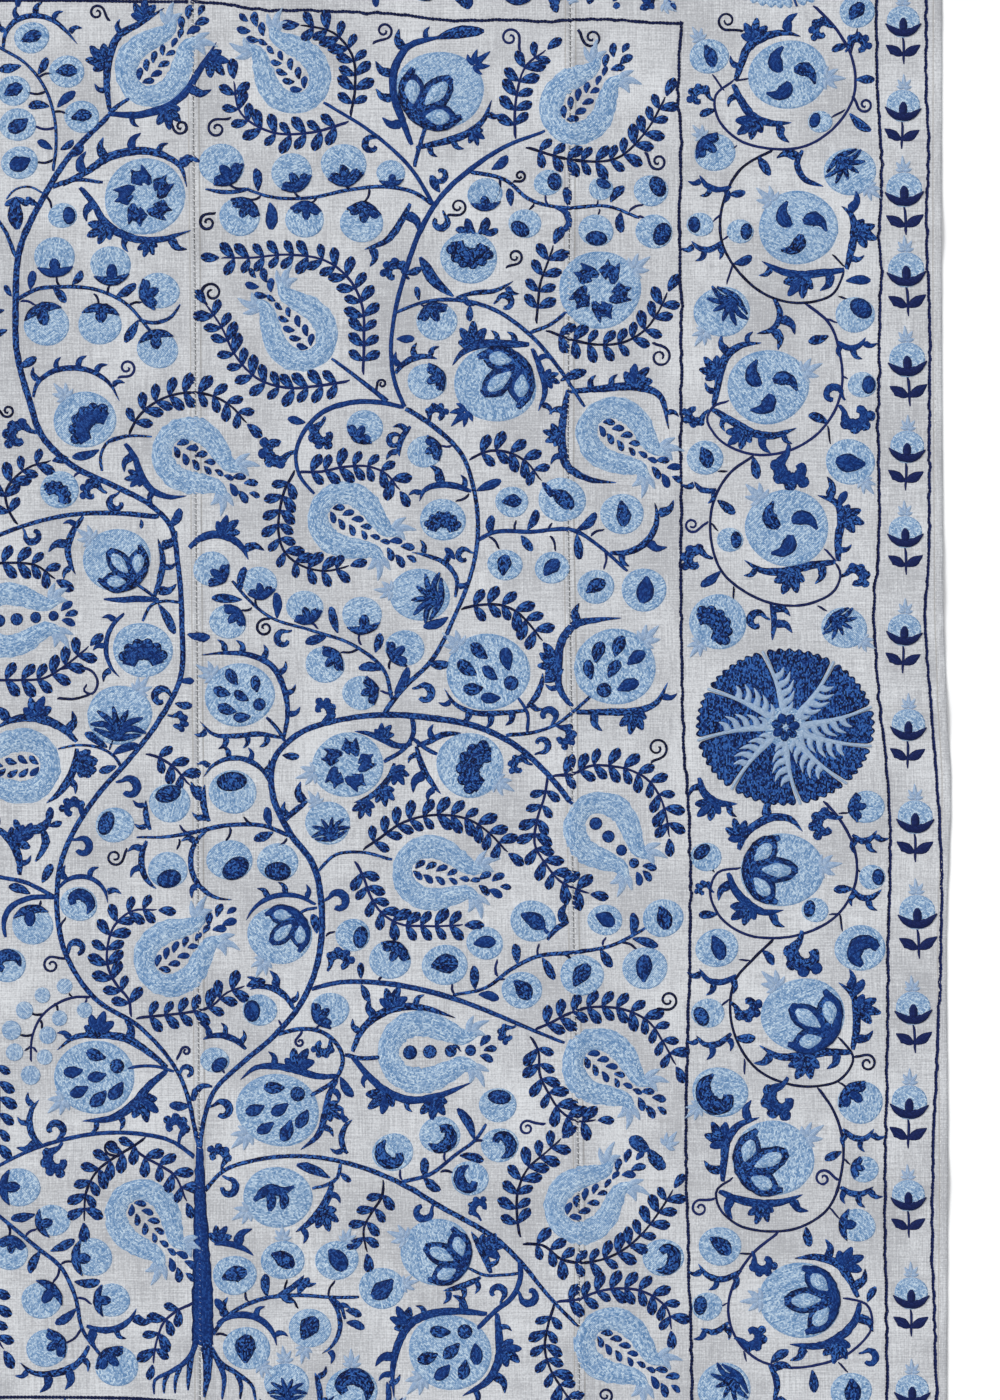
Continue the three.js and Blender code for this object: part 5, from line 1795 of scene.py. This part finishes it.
sprout_tree, sprout, close_sprout = node_tree("guard_sprout", {})
places = sprout["Geometry"].node("GeometryNodeMeshToPoints", None, {"Mesh": sprout["Geometry"]})
sprout_turn = places.node("GeometryNodeInputNamedAttribute", {"data_type": "FLOAT"}, {"Name": "turn"})
sprout_turn = sprout_turn + chance(places, -SPROUT_SWAY, SPROUT_SWAY, sprout["Seed"] + 1)
close_sprout(plant(places, sprout, sprout_turn, chance(places, *SPROUT_SCALE, sprout["Seed"])))

sprout_places, sprout_turns = [], []
for across, down in zip(SPROUT_ACROSS, SPROUT_DOWN):
    for place in (spot(across, down), mirrored(spot(across, down))):
        sprout_places.append(place)
        sprout_turns.append(0.0)
for step in range(END_SPROUT_COUNT):
    along_head = (step - (END_SPROUT_COUNT - 1) / 2) * END_SPROUT_PITCH
    towards = math.radians(90 if step < END_SPROUT_COUNT / 2 else -90)
    for down in (HEAD_GUARD_DOWN, FOOT_GUARD_DOWN):
        sprout_places.append(np.array([along_head, spot(0, down)[1]]))
        sprout_turns.append(towards)
for thread, drawing in (("light", sprout_light), ("navy", sprout_navy)):
    pattern = Needlework()
    drawing(pattern)
    drawn = show("sprout", pattern.mesh("sprout", laid=False))
    roots = bpy.data.meshes.new("roots")
    roots.from_pydata([(x * MM, y * MM, 0) for x, y in sprout_places], [], [])
    roots.attributes.new("turn", "FLOAT", "POINT").data.foreach_set("value", sprout_turns)
    name = f"guard_sprouts_{thread}"
    sew(name, thread, grow(name, bpy.data.objects.new("roots", roots), sprout_tree, {
        "Pattern": drawn, "Seed": 31, "Material": THREADS[thread][0]}))

# Sewing in plain cotton thread, which holds the strips together and shows only close to.
# The strips are whipped edge to edge, and the turned hem is caught down with small stitches.
SEAM_STITCH_SPACING, HEM_STITCH_SPACING = 5.5, 8.0
STITCH_SWAY = 0.2
STITCH_WIDTHS, STITCH_DYE, STITCH_BASE, STITCH_RISE = [0.7, 1.0, 0.7], 0.5, 0.15, 0.75
# Twist in the thread: fineness, and the tones it runs between
TWIST_FINENESS, TWIST_TONES, THREAD_ROUGHNESS = 900.0, (0.3, 0.7), 0.9
# Where the stitching ends before a corner, and how far inside its edge the hem is caught
SEAM_END, HEM_END, HEM_CATCH = 6, 12, HEM_BAND - 1.5

stitch_tree, stitch, close_stitches = node_tree("cotton_stitches", {"Spacing": "Float", "Turn": "Float"})
stitched = spaced(stitch)
stitch_turn = heading(stitched) + stitch["Turn"] + chance(stitched, -STITCH_SWAY, STITCH_SWAY, stitch["Seed"])
close_stitches(plant(stitched, stitch, stitch_turn))

tacking, tacking_shader, add = new_material("cotton_thread")
twist = add.noise(add.node("ShaderNodeTexCoord", None, None, "Object"), TWIST_FINENESS)
tacking_tone = add.blend(twist.between(*TWIST_TONES), GROUND_DEEP, GROUND_SLUB)
tacking_tone.feed(tacking_shader, "Base Color")
tacking_shader.inputs["Roughness"].default_value = THREAD_ROUGHNESS
THREADS["cotton"] = (tacking, "cotton_ground")

seam_run = np.linspace(-HALF_LENGTH + SEAM_END, HALF_LENGTH - SEAM_END, 120)
seam_lines = [np.column_stack([long_line(index, seam_run), seam_run]) for index in (1, 2, 3)]
hem_sides = [np.column_stack([way * (long_line(4, seam_run) - HEM_CATCH), seam_run]) for way in (1, -1)]
end_run = np.linspace(-CLOTH_WIDTH / 2 + HEM_END, CLOTH_WIDTH / 2 - HEM_END, 90)
end_line = HALF_LENGTH + eased(END_EDGE, end_run) - HEM_CATCH
hem_ends = [np.column_stack([end_run, way * end_line]) for way in (1, -1)]
for name, lines, spacing, turn, length in (
        ("seam_stitches", seam_lines, SEAM_STITCH_SPACING, 62, 5.0),
        ("hem_stitches", hem_sides + hem_ends, HEM_STITCH_SPACING, 12, 3.6)):
    pattern = Needlework()
    pattern.ribbon([(-length / 2, 0), (0, 0.1), (length / 2, 0)], STITCH_WIDTHS, STITCH_DYE, base=STITCH_BASE,
                   rise=STITCH_RISE, step=1.6, columns=3)
    sew(name, "cotton", grow(name, curve_of(lines), stitch_tree, {
        "Pattern": show("stitch", pattern.mesh("stitch", laid=False)), "Spacing": spacing * MM,
        "Turn": math.radians(turn), "Seed": 3, "Material": tacking}))
